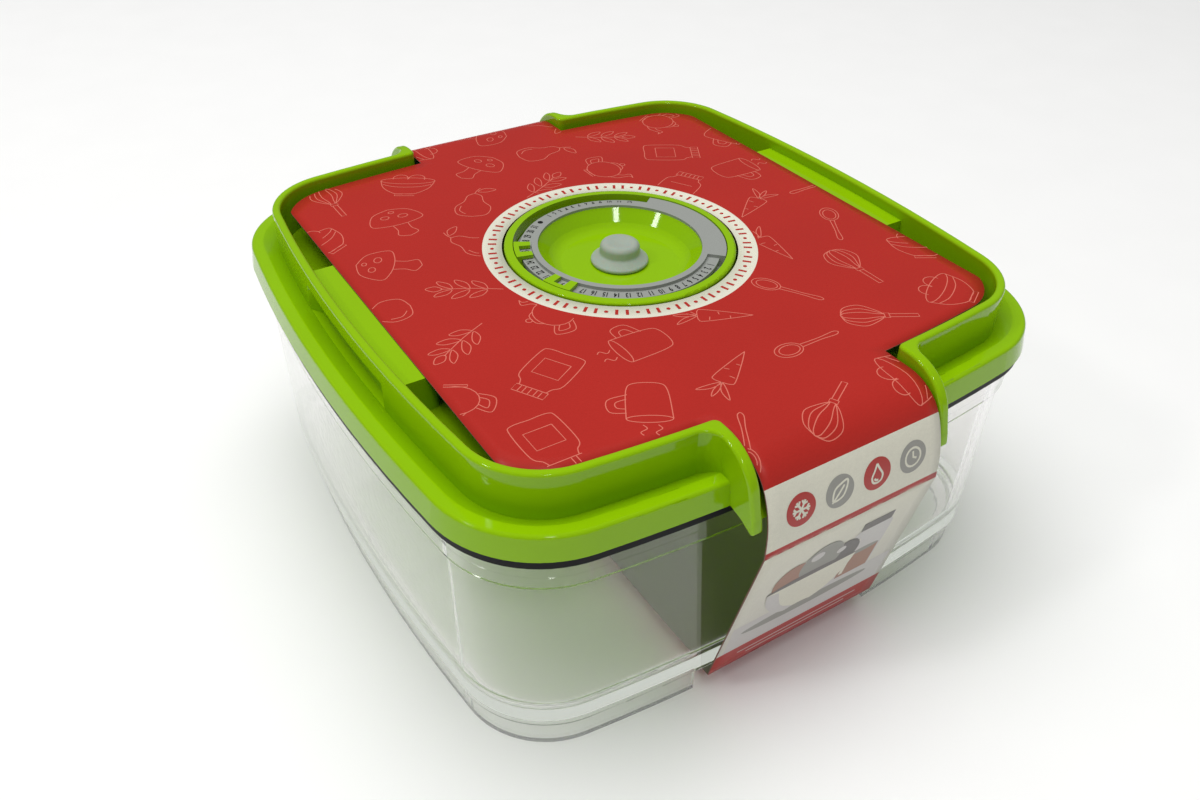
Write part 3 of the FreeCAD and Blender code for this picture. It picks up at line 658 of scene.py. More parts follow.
def strap_row(bm, edges, v, fold):
    """Extrude the strap's last row to the flat place v."""
    row, rim = extrude_row(bm, edges)
    for vert in rim:
        share = vert.co.x / fold.half_width(vert.co.y)
        vert.co.x = share * fold.half_width(v)
        vert.co.y = v
    return row


def top_card(fold):
    """Flat mesh of the top panel with both straps, drawn out from the hole."""
    sizes = fold.sizes
    outline = panel_outline(sizes)
    bm = bmesh.new()
    spoke = bm.verts.layers.int.new("spoke")
    bmesh.ops.create_circle(bm, segments=len(outline), radius=sizes.hole)
    for index, (vert, spot) in enumerate(zip(bm.verts, outline)):
        vert[spoke] = index
        vert.co = (spot.normalized() * sizes.hole).to_3d()
    row = list(bm.edges)
    ring = sizes.hole + sizes.ring_width
    row, rim = extrude_row(bm, row)
    for vert in rim:
        vert.co = (outline[vert[spoke]].normalized() * ring).to_3d()
    rows = 12
    for index in range(1, rows + 1):
        row, rim = extrude_row(bm, row)
        for vert in rim:
            spot = outline[vert[spoke]]
            near = spot.normalized() * ring
            vert.co = near.lerp(spot, index / rows).to_3d()
    slack = 0.01 * MM
    edge = sizes.strap_width / 2 + slack
    start = sizes.strap_flat - sizes.strap_lead
    strap_rows = steps(start, fold.crease, 30)[1:] + [fold.crease]
    for side in (-1, 1):
        strap = [item for item in row if all(abs(v.co.x) < edge and v.co.y * side > 0 for v in item.verts)]
        for v in strap_rows:
            strap = strap_row(bm, strap, side * v, fold)
    return bm


def wrap_card(fold):
    """Flat mesh of the wrap's front and rear halves, from each crease to the middle of the floor."""
    parting = 0.02 * MM
    start = fold.crease + parting
    half = fold.half_width(start)
    across = steps(-half, half, 12) + [half]
    drops = steps(start, fold.foot, 22)[1:] + steps(fold.foot, fold.middle, 14) + [fold.middle]
    bm = bmesh.new()
    for side in (-1, 1):
        verts = [bm.verts.new((x, side * start, 0)) for x in across]
        row = [bm.edges.new(pair) for pair in zip(verts, verts[1:])]
        for v in drops:
            row = strap_row(bm, row, side * v, fold)
    return bm


def oval(x, y, wide, tall, first=0, last=360, count=20):
    """An oval, or the part of it between two turns in degrees."""
    turns = [math.radians(first + (last - first) * index / count) for index in range(count + 1)]
    return [(x + wide * math.cos(turn), y + tall * math.sin(turn)) for turn in turns]


def box(left, low, right, high):
    return [(left, low), (right, low), (right, high), (left, high), (left, low)]


def between_spots(before, first, last, after, share):
    """A smooth step from the first value to the last, led by the values before and after them."""
    square = 2 * before - 5 * first + 4 * last - after
    cube = 3 * first - before - 3 * last + after
    return (2 * first + (last - before) * share + square * share**2 + cube * share**3) / 2


def bow(*spots, closed=False, count=5):
    """A smooth line through the spots."""
    if closed:
        ring = [spots[-1], *spots, spots[0], spots[1]]
    else:
        ring = [spots[0], *spots, spots[-1]]
    line = []
    for four in zip(ring, ring[1:], ring[2:], ring[3:]):
        for share in steps(0.0, 1.0, count):
            line.append(tuple(between_spots(*values, share) for values in zip(*four)))
    return line + [tuple(ring[-2])]


def both_sides(*lines):
    """The lines and their mirror images left to right."""
    return [*lines, *[[(-x, y) for x, y in line] for line in lines]]


def draw_jar():
    glass = bow((0, -0.42), (0.22, -0.42), (0.28, -0.32), (0.28, 0.12), (0.2, 0.24), (0.17, 0.32))
    ribs = [[(x, 0.33), (x, 0.43)] for x in (-0.13, -0.07, 0, 0.07, 0.13)]
    return [*both_sides(glass), box(-0.2, 0.32, 0.2, 0.44), box(-0.17, -0.24, 0.17, 0.06), *ribs]


def draw_mug():
    return [
        oval(-0.06, 0.22, 0.25, 0.06),
        bow((-0.31, 0.22), (-0.29, -0.26), (-0.2, -0.4), (0.08, -0.4), (0.17, -0.26), (0.19, 0.22)),
        bow((0.18, 0.12), (0.36, 0.1), (0.38, -0.1), (0.16, -0.2)),
        bow((0.18, 0.05), (0.28, 0.03), (0.29, -0.06), (0.17, -0.12)),
        bow((-0.14, 0.32), (-0.18, 0.38), (-0.11, 0.44), (-0.14, 0.49)),
        bow((0.02, 0.32), (-0.02, 0.38), (0.05, 0.44), (0.02, 0.49)),
    ]


def draw_whisk():
    wires = [
        bow((0.0, 0.48), (wide * 0.7, 0.42), (wide, 0.22), (wide * 0.55, 0.04), (0.03, -0.06))
        for wide in (0.07, 0.15, 0.23)
    ]
    return [*both_sides(*wires), box(-0.05, -0.12, 0.05, -0.06), box(-0.034, -0.48, 0.034, -0.12)]


def draw_spoon():
    shaft = bow((0.03, 0.1), (0.022, -0.2), (0.035, -0.42), (0.0, -0.48))
    return [oval(0, 0.28, 0.13, 0.19), oval(0, 0.27, 0.09, 0.14), *both_sides(shaft)]


def draw_pear():
    skin = bow((0, 0.3), (0.1, 0.22), (0.14, 0.04), (0.25, -0.14), (0.2, -0.36), (0, -0.42))
    return [
        *both_sides(skin),
        bow((0, 0.29), (0.02, 0.38), (0.07, 0.47)),
        bow((0.04, 0.36), (0.15, 0.46), (0.3, 0.42), (0.16, 0.34), closed=True),
        bow((-0.17, -0.1), (-0.18, -0.24), (-0.09, -0.34)),
    ]


def draw_carrot():
    root = bow((0, 0.2), (0.1, 0.19), (0.13, 0.12), (0.06, -0.24), (0, -0.48))
    marks = [[(-0.1, 0.06), (-0.03, 0.05)], [(0.08, -0.06), (0.02, -0.07)], [(-0.06, -0.2), (-0.01, -0.2)]]
    frond = bow((0.0, 0.2), (0.1, 0.3), (0.2, 0.46), (0.06, 0.36), closed=True)
    middle_frond = bow((0, 0.2), (-0.03, 0.36), (0, 0.49), (0.03, 0.36), closed=True)
    return [*both_sides(root, frond), middle_frond, *marks]


def draw_mushroom():
    cap = bow((0, 0.42), (0.26, 0.32), (0.38, 0.04), (0.2, -0.05), (0, -0.07))
    stem = bow((0.11, -0.06), (0.1, -0.22), (0.14, -0.36), (0, -0.43))
    dots = [oval(-0.12, 0.2, 0.06, 0.045), oval(0.13, 0.16, 0.07, 0.05), oval(0.02, 0.32, 0.04, 0.03)]
    return [*both_sides(cap, stem), *dots]


def draw_sprig():
    lines = [bow((0, -0.48), (0.02, -0.1), (0, 0.3))]
    for level, reach in ((-0.28, 0.2), (-0.06, 0.22), (0.16, 0.18)):
        back = (reach * 0.5, level + 0.16)
        tip = (reach, level + 0.2)
        belly = (reach * 0.7, level + 0.05)
        lines += both_sides(bow((0.01, level), back, tip, belly, closed=True))
    return [*lines, bow((0, 0.28), (0.06, 0.38), (0, 0.49), (-0.06, 0.38), closed=True)]


def draw_teapot():
    return [
        oval(0, -0.1, 0.28, 0.25),
        bow((-0.15, 0.11), (-0.08, 0.19), (0.08, 0.19), (0.15, 0.11)),
        oval(0, 0.235, 0.04, 0.04),
        bow((0.25, -0.18), (0.36, -0.08), (0.4, 0.1), (0.47, 0.12)),
        bow((0.27, -0.02), (0.32, 0.04), (0.35, 0.15), (0.47, 0.12)),
        bow((-0.25, 0.03), (-0.42, 0.1), (-0.45, -0.14), (-0.26, -0.22)),
        bow((-0.27, -0.03), (-0.37, 0.03), (-0.38, -0.1), (-0.28, -0.15)),
        box(-0.13, -0.38, 0.13, -0.34),
    ]


def draw_bowl():
    side = bow((0.4, 0.12), (0.33, -0.12), (0.15, -0.3), (0, -0.31))
    return [
        oval(0, 0.12, 0.4, 0.1),
        *both_sides(side),
        box(-0.14, -0.37, 0.14, -0.31),
        bow((-0.36, 0.0), (-0.16, -0.08), (0.16, -0.08), (0.36, 0.0)),
        oval(-0.12, 0.21, 0.11, 0.11, -20, 200),
        oval(0.12, 0.2, 0.12, 0.12, -20, 190),
    ]


def draw_flake():
    """A frost star."""
    shaft = [(-0.46, 0), (0, 0), (0.46, 0)]
    barb = [(0.4, 0.15), (0.26, 0), (0.4, -0.15)]
    arms = []
    for index in range(3):
        turn = Matrix.Rotation(index * math.pi / 3, 2)
        for line in (shaft, *both_sides(barb)):
            arms.append([tuple(turn @ Vector(spot)) for spot in line])
    return arms


def draw_leaf():
    blade = bow(
        (-0.36, -0.36), (-0.3, 0.14), (0.08, 0.36), (0.42, 0.42), (0.36, 0.06), (0.12, -0.3), closed=True
    )
    return [blade, bow((-0.42, -0.44), (-0.1, -0.12), (0.24, 0.24))]


def draw_drop():
    side = bow((0, 0.48), (0.14, 0.2), (0.3, -0.1), (0.22, -0.36), (0, -0.44))
    return [*both_sides(side), oval(0, -0.12, 0.16, 0.18, 200, 290, 6)]


def draw_clock():
    return [oval(0, 0, 0.44, 0.44), [(0, 0.28), (0, 0), (0.2, -0.1)]]


SIGNS = (draw_flake, draw_leaf, draw_drop, draw_clock)
# Size of a sign's drawing against the radius of its disc
SIGN_SHARE = 1.3
INKS = ("red", "grey", "paper", "pale", "dark", "wood")


def still_life():
    """Filled shapes of a bowl of fruit and a jar on a table, from back to front, each with its ink."""
    jar = bow((0.14, -0.25), (0.13, 0.2), (0.18, 0.27), (0.38, 0.27), (0.43, 0.2), (0.42, -0.25))
    left_side = ((-0.46, 0.03), (-0.42, -0.12), (-0.3, -0.27), (-0.12, -0.32))
    bowl = bow(*left_side, (0.06, -0.27), (0.18, -0.12), (0.22, 0.03))
    shade = bow(*left_side, (-0.28, -0.2), (-0.36, 0.0))
    return [
        ("pale", box(-0.62, -0.52, 0.62, -0.22)),
        ("grey", oval(-0.04, -0.33, 0.5, 0.05)),
        ("pale", jar),
        ("wood", box(0.15, -0.23, 0.41, 0.02)),
        ("grey", oval(0.28, 0.02, 0.13, 0.025)),
        ("dark", box(0.16, 0.27, 0.4, 0.35)),
        ("paper", box(0.17, -0.2, 0.2, 0.18)),
        ("wood", oval(-0.3, 0.1, 0.14, 0.15)),
        ("dark", oval(0.08, 0.1, 0.13, 0.14)),
        ("grey", oval(-0.1, 0.16, 0.16, 0.17)),
        ("pale", oval(-0.15, 0.23, 0.05, 0.04)),
        ("pale", oval(0.05, 0.17, 0.035, 0.03)),
        ("dark", oval(-0.12, 0.03, 0.34, 0.055)),
        ("paper", bowl),
        ("pale", shade),
        ("grey", oval(-0.12, -0.32, 0.11, 0.03)),
    ]


DRAWINGS = (
    draw_jar,
    draw_pear,
    draw_whisk,
    draw_mug,
    draw_sprig,
    draw_bowl,
    draw_carrot,
    draw_teapot,
    draw_mushroom,
    draw_spoon,
)
# Drawings on each side of the middle one, and the height of a row against its pitch
COLUMNS = 4
ROW_SHARE = 0.9
# How far up the band each rule lies, and half its length, as shares of the band and of the wrap's width
RULES = ((0.4, 0.36), (0.64, 0.3))
# Lift of each layer of the still life over the one below, as a share of the ink's lift
LAYER_SHARE = 0.2


def ribbon(bm, spots, width, lift, ink=0):
    """A printed line along flat spots."""
    sides = []
    for index, spot in enumerate(spots):
        ahead = spots[min(index + 1, len(spots) - 1)]
        behind = spots[max(index - 1, 0)]
        run = (ahead - behind).normalized()
        sides.append(Vector((-run.y, run.x)) * width / 2)
    start = [bm.verts.new((*(spot - side), lift)) for spot, side in zip(spots, sides)]
    row = [bm.edges.new(pair) for pair in zip(start, start[1:])]
    places = {vert: spot + side for vert, spot, side in zip(start, spots, sides)}
    _, rim = extrude_row(bm, row)
    for vert in rim:
        source = next(edge.other_vert(vert) for edge in vert.link_edges if edge.other_vert(vert) in places)
        vert.co = (*places[source], lift)
        for face in vert.link_faces:
            face.material_index = ink


def disc(bm, centre, radius, lift, ink=0, count=24):
    """A filled printed dot."""
    verts = bmesh.ops.create_circle(bm, cap_ends=True, segments=count, radius=radius)["verts"]
    for vert in verts:
        vert.co = (centre.x + vert.co.x, centre.y + vert.co.y, lift)
    verts[0].link_faces[0].material_index = ink


def filled_shape(bm, spots, lift, ink):
    """A filled printed shape within a closed line of flat spots."""
    if (spots[0] - spots[-1]).length < TOUCH:
        spots = spots[:-1]
    face = bm.faces.new([bm.verts.new((*spot, lift)) for spot in spots])
    face.material_index = ink


def fold_print(bm, fold):
    """Cut the flat print into narrow strips where the card bends, then fold it with the card."""
    sizes = fold.sizes
    strip = 1.2 * MM
    count = math.ceil(fold.second / strip) - 1
    for side in (-1, 1):
        for past in steps(0.0, fold.second, count) + [fold.second]:
            everything = [*bm.verts, *bm.edges, *bm.faces]
            level = (0, side * (sizes.strap_flat + past), 0)
            bmesh.ops.bisect_plane(bm, geom=everything, dist=0.0, plane_co=level, plane_no=(0, 1, 0))
    for vert in bm.verts:
        vert.co = fold.point(*vert.co)
    turn_outward(bm)


def printed_runs(spots, allowed):
    """The stretches of a line that lie on the print."""
    run = []
    for spot in spots:
        if allowed(spot):
            run.append(spot)
            continue
        if len(run) > 1:
            yield run
        run = []
    if len(run) > 1:
        yield run


def placed(drawing, centre, size, turn):
    """The drawing's lines at a flat place."""
    matrix = Matrix.Rotation(turn, 2)
    return [[centre + matrix @ (Vector(spot) * size) for spot in line] for line in drawing]


def inside_panel(outline, margin):
    """A test of flat points against the top panel, by the outline's reach in each direction."""
    reach = sorted((math.atan2(spot.y, spot.x), spot.length) for spot in outline)

    def test(spot):
        turn = math.atan2(spot.y, spot.x)
        nearest = min(reach, key=lambda item: abs(item[0] - turn))
        return spot.length < nearest[1] - margin

    return test


class CANISTER_OT_tub(Operator):
    """Finish the clear tub"""

    bl_idname = "canister.tub"
    bl_label = "Clear tub"

    def execute(self, context):
        colours = context.scene.canister_colours
        dress_node("clear_tub", clear_finish(colours.clear, colours.seam, context.scene.canister_tub))
        return {"FINISHED"}


class CANISTER_OT_lid(Operator):
    """Finish the lid, its sliders and its gasket"""

    bl_idname = "canister.lid"
    bl_label = "Lid and gasket"

    def execute(self, context):
        colours = context.scene.canister_colours
        lime = moulded_finish(
            "lime_plastic",
            colours.lime,
            drift=0.1,
            specks=0.05,
            roughness=0.07,
            smudges=0.06,
            peel=0.015,
            shine=0.31,
        )
        rubber = moulded_finish(
            "gasket_rubber",
            colours.gasket,
            drift=0.2,
            specks=0.25,
            roughness=0.5,
            smudges=0.2,
            peel=0.2,
            shine=0.14,
        )
        for node in ("lid_shell", "day_slider", "month_slider"):
            dress_node(node, lime)
        dress_node("lid_gasket", rubber)
        add_piece("ear_tips", self.ear_tips(context.scene.canister_ear), "lid", [lime])
        return {"FINISHED"}

    def ear_tips(self, sizes):
        """The four tips, each a bevelled prism sunk into the lower end of its ear."""
        outline = (
            (sizes.heel, sizes.heel_level),
            (sizes.point, sizes.point_level),
            (sizes.nose, sizes.nose_level),
            (sizes.brow, sizes.brow_level),
        )
        across = Vector((sizes.outside - sizes.inside, 0, 0))
        bm = bmesh.new()
        for side in (-1, 1):
            for end in (-1, 1):
                tip = bmesh.new()
                corners = [tip.verts.new((sizes.inside, -reach, level)) for reach, level in outline]
                made = bmesh.ops.extrude_face_region(tip, geom=[tip.faces.new(corners)])["geom"]
                bmesh.ops.translate(tip, verts=only_verts(made), vec=across)
                bmesh.ops.bevel(
                    tip,
                    geom=tip.edges[:],
                    offset=sizes.edge_round,
                    affect="EDGES",
                    segments=3,
                    profile=0.5,
                    material=-1,
                )
                bmesh.ops.scale(tip, verts=tip.verts, vec=(side, end, 1))
                bmesh.ops.recalc_face_normals(tip, faces=tip.faces)
                mesh = bpy.data.meshes.new("ear_tip")
                tip.to_mesh(mesh)
                tip.free()
                bm.from_mesh(mesh)
                bpy.data.meshes.remove(mesh)
        shade_smooth(bm)
        return bm


class CANISTER_OT_dial(Operator):
    """Finish the date ring and print its numbers"""

    bl_idname = "canister.dial"
    bl_label = "Date dial"

    def execute(self, context):
        colours = context.scene.canister_colours
        sizes = context.scene.canister_dial
        plastic = moulded_finish(
            "dial_plastic", colours.dial, drift=0.1, specks=0.12, roughness=0.42, smudges=0.2, peel=0.12
        )
        dress_node("date_ring", plastic)
        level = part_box("date_ring")[1].z - sizes.track_drop + sizes.print_depth
        bm = bmesh.new()
        self.print_row(bm, 31, sizes.first_day, sizes, level)
        self.print_row(bm, 12, sizes.first_month, sizes, level)
        spot = Matrix.Rotation(sizes.dot_place, 4, "Z") @ Matrix.Translation((sizes.radius, 0, level))
        dot = sizes.height * sizes.dot_share
        bmesh.ops.create_circle(bm, cap_ends=True, segments=24, radius=dot, matrix=spot)
        ink = moulded_finish(
            "dial_ink", colours.ink, drift=0.1, specks=0.3, roughness=0.5, smudges=0.1, peel=0.1
        )
        add_piece("dial_numbers", bm, "lid", [ink])
        return {"FINISHED"}

    def print_row(self, bm, last, turn, sizes, level):
        """The numbers from 1 to the last, clockwise, each as far on as its digits need."""
        for number in range(1, last + 1):
            text = str(number)
            self.print_number(bm, text, turn, sizes, level)
            digits = len(text) + len(str(number + 1))
            turn -= sizes.gap + sizes.digit * digits / 2

    def print_number(self, bm, text, turn, sizes, level):
        """One number on the track, its top outward."""
        curve = bpy.data.curves.new("number", "FONT")
        curve.body = text
        curve.size = sizes.height
        curve.offset = sizes.bold
        curve.align_x = "CENTER"
        curve.align_y = "CENTER"
        holder = bpy.data.objects.new("number", curve)
        bpy.context.scene.collection.objects.link(holder)
        bpy.context.view_layer.update()
        mesh = bpy.data.meshes.new_from_object(holder.evaluated_get(bpy.context.evaluated_depsgraph_get()))
        upright = Matrix.Rotation(-math.pi / 2, 4, "Z") @ Matrix.Scale(sizes.narrow, 4, (1, 0, 0))
        spot = Matrix.Rotation(turn, 4, "Z") @ Matrix.Translation((sizes.radius, 0, level)) @ upright
        mesh.transform(spot)
        bm.from_mesh(mesh)
        bpy.data.objects.remove(holder)
        bpy.data.curves.remove(curve)
        bpy.data.meshes.remove(mesh)


class CANISTER_OT_valve(Operator):
    """Model the soft air valve"""

    bl_idname = "canister.valve"
    bl_label = "Air valve"

    def execute(self, context):
        sizes = context.scene.canister_valve
        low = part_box("valve_button")[0].z - sizes.floor
        profile = self.profile(sizes, low)
        bm = bmesh.new()
        verts = [bm.verts.new((across, 0, sizes.floor + up)) for across, up in profile]
        edges = [bm.edges.new(pair) for pair in zip(verts, verts[1:])]
        bmesh.ops.spin(
            bm, geom=verts + edges, cent=(0, 0, 0), axis=(0, 0, 1), angle=math.tau, steps=72, use_merge=True
        )
        bmesh.ops.remove_doubles(bm, verts=bm.verts, dist=TOUCH)
        bmesh.ops.recalc_face_normals(bm, faces=bm.faces)
        shade_smooth(bm)
        silicone = moulded_finish(
            "valve_silicone",
            context.scene.canister_colours.valve,
            drift=0.12,
            specks=0.14,
            roughness=0.46,
            smudges=0.2,
            peel=0.16,
            soft=0.25,
        )
        add_piece("soft_valve", bm, "valve", [silicone], ["valve_button"])
        return {"FINISHED"}

    def profile(self, sizes, low):
        """Section of the valve from the top's middle to the bulb's end, as reach and level."""
        def rounded(across, up, radius, turns):
            return [(across + radius * math.cos(turn), up + radius * math.sin(turn)) for turn in turns]

        dish = sizes.dimple_radius
        top = sizes.cap_height
        dish_floor = top - sizes.dimple_depth
        edge = sizes.cap_round
        neck = sizes.neck_round
        lip = sizes.flange_edge / 2
        neck_level = sizes.flange_edge + sizes.neck_rise + neck
        quarter = math.pi / 2
        return [
            (0, dish_floor),
            (dish * sizes.dimple_flat, dish_floor),
            (dish, top),
            *rounded(sizes.cap_radius - edge, top - edge, edge, steps(quarter, 0, 6) + [0]),
            *rounded(sizes.cap_radius + neck, neck_level, neck, steps(2 * quarter, 3 * quarter, 5)),
            *rounded(sizes.flange_radius - lip, lip, lip, steps(0.8 * quarter, -quarter, 8) + [-quarter]),
            (sizes.stem_radius, 0),
            (sizes.stem_radius, low * sizes.bulb_start),
            (sizes.bulb_radius, low * sizes.bulb_widest),
            (sizes.stem_radius, low),
            (0, low),
        ]


class CANISTER_OT_sleeve(Operator):
    """Fold the printed card sleeve round the canister"""

    bl_idname = "canister.sleeve"
    bl_label = "Card sleeve"

    def execute(self, context):
        colours = context.scene.canister_colours
        sizes = context.scene.canister_sleeve
        fold = Fold(sizes)
        finishes = [
            printed_finish(colours, sizes, fold),
            card_finish("sleeve_board", colours.board, fibre=0.2, roughness=0.7, relief=0.4),
            card_finish("sleeve_cut_edge", colours.cut_edge, fibre=0.3, roughness=0.8, relief=0.5),
        ]
        top = top_card(fold)
        fold_card(top, fold)
        turn_outward(top)
        piece = add_piece("sleeve_top_card", top, "lid", finishes, ["sleeve_top"])
        thicken_card(piece, sizes.card)
        wrap = wrap_card(fold)
        fold_card(wrap, fold)
        halves_meet = 0.005 * MM
        bmesh.ops.remove_doubles(wrap, verts=wrap.verts, dist=halves_meet)
        turn_outward(wrap)
        piece = add_piece("sleeve_wrap_card", wrap, "container", finishes, ["sleeve_wrap"])
        thicken_card(piece, sizes.card)
        return {"FINISHED"}


class CANISTER_OT_print(Operator):
    """Print the line drawings, the ring's marks, the signs and the still life on the sleeve"""

    bl_idname = "canister.print"
    bl_label = "Sleeve print"

    def execute(self, context):
        colours = context.scene.canister_colours
        sizes = context.scene.canister_sleeve
        fold = Fold(sizes)
        inks = [
            card_finish(f"{name}_ink", getattr(colours, name), fibre=0.14, roughness=0.4, relief=0.15)
            for name in INKS
        ]
        line_ink = card_finish("line_ink", colours.line, fibre=0.12, roughness=0.4, relief=0.15)
        self.add_print("sleeve_drawings", self.drawings(sizes), fold, "lid", [line_ink])
        self.add_print("sleeve_ring_marks", self.ring_marks(sizes), fold, "lid", inks)
        self.add_print("sleeve_signs", self.signs(sizes, fold), fold, "lid", inks)
        self.add_print("sleeve_still_life", self.still_lifes(sizes, fold), fold, "container", inks)
        return {"FINISHED"}

    def add_print(self, name, bm, fold, body, inks):
        fold_print(bm, fold)
        add_piece(name, bm, body, inks)

    def drawings(self, sizes):
        """Rows of drawings over the red field, each turned in its own way and cut off at the field's edge."""
        on_panel = inside_panel(panel_outline(sizes), sizes.margin)
        ring = sizes.hole + sizes.ring_width + sizes.ring_margin
        last = sizes.strap_flat + sizes.red_end - sizes.margin
        strap = sizes.strap_width / 2 - sizes.margin

        def allowed(spot):
            if spot.length < ring or abs(spot.y) > last:
                return False
            return abs(spot.x) < strap or on_panel(spot)

        bm = bmesh.new()
        rows = math.ceil(last / sizes.pitch)
        for row in range(-rows, rows + 1):
            for column in range(-COLUMNS, COLUMNS + 1):
                centre = Vector((column + 0.5 * (row % 2), row * ROW_SHARE)) * sizes.pitch
                # Strides without a common factor with the counts keep like drawings and turns apart
                order = (column * 3 + row * 7) % len(DRAWINGS)
                turn = math.radians((column * 47 + row * 71) % 12 * 30)
                for line in placed(DRAWINGS[order](), centre, sizes.motif, turn):
                    for run in printed_runs(line, allowed):
                        ribbon(bm, run, sizes.line, sizes.ink_lift)
        return bm

    def ring_marks(self, sizes):
        """Short bars and dots by turns round the plain ring."""
        middle = sizes.hole + sizes.ring_width / 2
        bm = bmesh.new()
        for index in range(sizes.marks):
            turn = math.tau * index / sizes.marks
            out = Vector((math.cos(turn), math.sin(turn)))
            if index % 3 == 0:
                disc(bm, out * middle, sizes.mark_dot, sizes.ink_lift)
            else:
                bar = [out * (middle + end * sizes.mark_reach) for end in (-1, 0, 1)]
                ribbon(bm, bar, sizes.mark_bar, sizes.ink_lift)
        return bm

    def signs(self, sizes, fold):
        """A row of round signs on the white panel of each strap."""
        bm = bmesh.new()
        low = sizes.strap_flat + sizes.red_end
        middle = (low + fold.crease - sizes.stripe) / 2
        for side in (-1, 1):
            turn = math.pi if side > 0 else 0.0
            for index, drawing in enumerate(SIGNS):
                across = (index - (len(SIGNS) - 1) / 2) * sizes.sign_pitch
                centre = Vector((-side * across, side * middle))
                field = INKS.index("grey" if index % 2 else "red")
                disc(bm, centre, sizes.sign, sizes.ink_lift, field, count=40)
                for line in placed(drawing(), centre, sizes.sign * SIGN_SHARE, turn):
                    ribbon(bm, line, sizes.sign_line, 2 * sizes.ink_lift, INKS.index("paper"))
        return bm

    def still_lifes(self, sizes, fold):
        """The still life and the double rule on the front and rear of the wrap."""
        bm = bmesh.new()
        middle = (fold.crease + fold.foot - sizes.band) / 2
        for side in (-1, 1):
            turn = math.pi if side > 0 else 0.0
            centre = Vector((0, side * middle))
            for layer, (ink, line) in enumerate(still_life()):
                spots = placed([line], centre, sizes.scene, turn)[0]
                filled_shape(bm, spots, sizes.ink_lift * (1 + LAYER_SHARE * layer), INKS.index(ink))
            for share, half in RULES:
                v = side * (fold.foot - sizes.band * (1 - share))
                rule = [Vector((x * sizes.wrap_width, v)) for x in (-half, 0.0, half)]
                ribbon(bm, rule, sizes.line * 2, sizes.ink_lift, INKS.index("pale"))
        return bm


# The direction that each light shines from, its distance and its size in metres
SOFTBOX = ((-0.1, 0.1, 1.0), 2.4, 2.6)
CEILING_PANELS = {
    "panel_front": ((-0.268, -0.573, 0.774), 1.5, 0.16),
    "panel_left": ((-0.729, 0.082, 0.68), 1.5, 0.16),
}


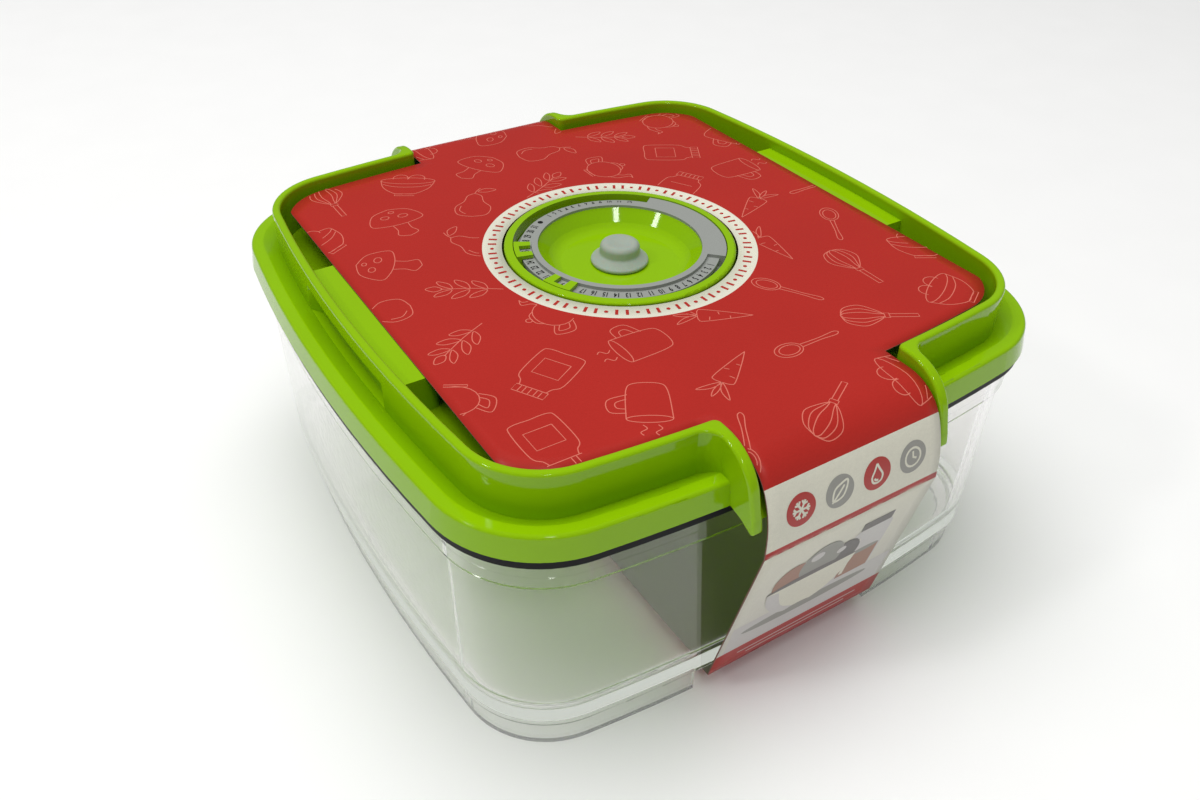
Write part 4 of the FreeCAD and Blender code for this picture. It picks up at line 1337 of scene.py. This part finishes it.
class CANISTER_OT_stage(Operator):
    """Set up the floor, the lights and the camera"""

    bl_idname = "canister.stage"
    bl_label = "Studio"

    def execute(self, context):
        scene = context.scene
        studio = scene.canister_studio
        self.lay_floor(scene, studio)
        self.light_room(scene, studio)
        self.place_camera(scene, studio)
        scene.view_settings.view_transform = "Standard"
        return {"FINISHED"}

    def lay_floor(self, scene, studio):
        bm = bmesh.new()
        bmesh.ops.create_circle(bm, cap_ends=True, segments=128, radius=studio.floor_radius)
        mesh = bpy.data.meshes.new("studio_floor")
        bm.to_mesh(mesh)
        bm.free()
        tint = scene.canister_colours.floor
        mesh.materials.append(card_finish("floor_paint", tint, fibre=0.02, roughness=0.7, relief=0.0))
        floor = bpy.data.objects.new("studio_floor", mesh)
        scene.collection.objects.link(floor)
        floor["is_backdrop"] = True

    def light_room(self, scene, studio):
        """An even room, brighter where it is seen than where it lights, with a softbox and two panels."""
        world = bpy.data.worlds.new("studio_room")
        world.use_nodes = True
        tree = world.node_tree
        room = tree.nodes["Background"]
        room.inputs["Color"].default_value = (1.0, 1.0, 1.0, 1.0)
        path = put(tree, "ShaderNodeLightPath")
        seen = reckon(tree, "MAXIMUM", path.outputs["Is Camera Ray"], path.outputs["Is Transmission Ray"])
        tree.links.new(spread(tree, seen, 0.0, 1.0, studio.ambient, studio.backdrop), room.inputs["Strength"])
        scene.world = world
        overhead = self.add_panel(scene, "overhead", studio.overhead, *SOFTBOX)
        overhead.visible_glossy = False
        for name, place in CEILING_PANELS.items():
            self.add_panel(scene, name, studio.panel, *place)

    def add_panel(self, scene, name, power, direction, distance, size):
        """A square light that shines on the canister's middle from a direction."""
        target = (CAD_BOX[0] + CAD_BOX[1]) / 2
        towards = Vector(direction)
        light = bpy.data.lights.new(name, "AREA")
        light.size = size
        light.energy = power
        holder = bpy.data.objects.new(name, light)
        holder.location = target + towards.normalized() * distance
        holder.rotation_euler = towards.to_track_quat("Z", "Y").to_euler()
        scene.collection.objects.link(holder)
        return holder

    def place_camera(self, scene, studio):
        flat = math.cos(studio.elevation)
        back = Vector((
            math.sin(studio.azimuth) * flat,
            -math.cos(studio.azimuth) * flat,
            math.sin(studio.elevation),
        ))
        right = Vector((math.cos(studio.azimuth), math.sin(studio.azimuth), 0))
        up = back.cross(right)
        level = Matrix((right, up, back)).transposed()
        camera = bpy.data.cameras.new("camera")
        camera.lens = studio.lens
        camera.sensor_width = studio.sensor
        camera.clip_start = 0.01
        holder = bpy.data.objects.new("camera", camera)
        turned = level @ Matrix.Rotation(studio.roll, 3, "Z")
        holder.matrix_world = Matrix.Translation(studio.position) @ turned.to_4x4()
        scene.collection.objects.link(holder)
        scene.camera = holder


OPERATORS = (
    CANISTER_OT_tub,
    CANISTER_OT_lid,
    CANISTER_OT_dial,
    CANISTER_OT_valve,
    CANISTER_OT_sleeve,
    CANISTER_OT_print,
    CANISTER_OT_stage,
)


class CANISTER_PT_looks(Panel):
    """Lists the canister's pieces"""

    bl_idname = "CANISTER_PT_looks"
    bl_label = "Canister"
    bl_space_type = "VIEW_3D"
    bl_region_type = "UI"
    bl_category = "Canister"

    def draw(self, context):
        for operator in OPERATORS:
            self.layout.operator(operator.bl_idname)


SETTINGS = {
    "canister_colours": FinishColours,
    "canister_tub": TubSizes,
    "canister_dial": DialSizes,
    "canister_valve": ValveSizes,
    "canister_sleeve": SleeveSizes,
    "canister_ear": EarSizes,
    "canister_studio": StudioSettings,
}
CLASSES = (*SETTINGS.values(), *OPERATORS, CANISTER_PT_looks)


def register():
    for item in CLASSES:
        bpy.utils.register_class(item)
    for name, group in SETTINGS.items():
        setattr(bpy.types.Scene, name, PointerProperty(type=group))


def unregister():
    for name in SETTINGS:
        delattr(bpy.types.Scene, name)
    for item in reversed(CLASSES):
        bpy.utils.unregister_class(item)


def main():
    register()
    bpy.ops.canister.tub()
    bpy.ops.canister.lid()
    bpy.ops.canister.dial()
    bpy.ops.canister.valve()
    bpy.ops.canister.sleeve()
    bpy.ops.canister.print()
    bpy.ops.canister.stage()
    boxes = {"cad": CAD_BOX, "visual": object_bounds()}
    {name: [list(corner) for corner in corners] for name, corners in boxes.items()}


if __name__ == "__main__":
    main()
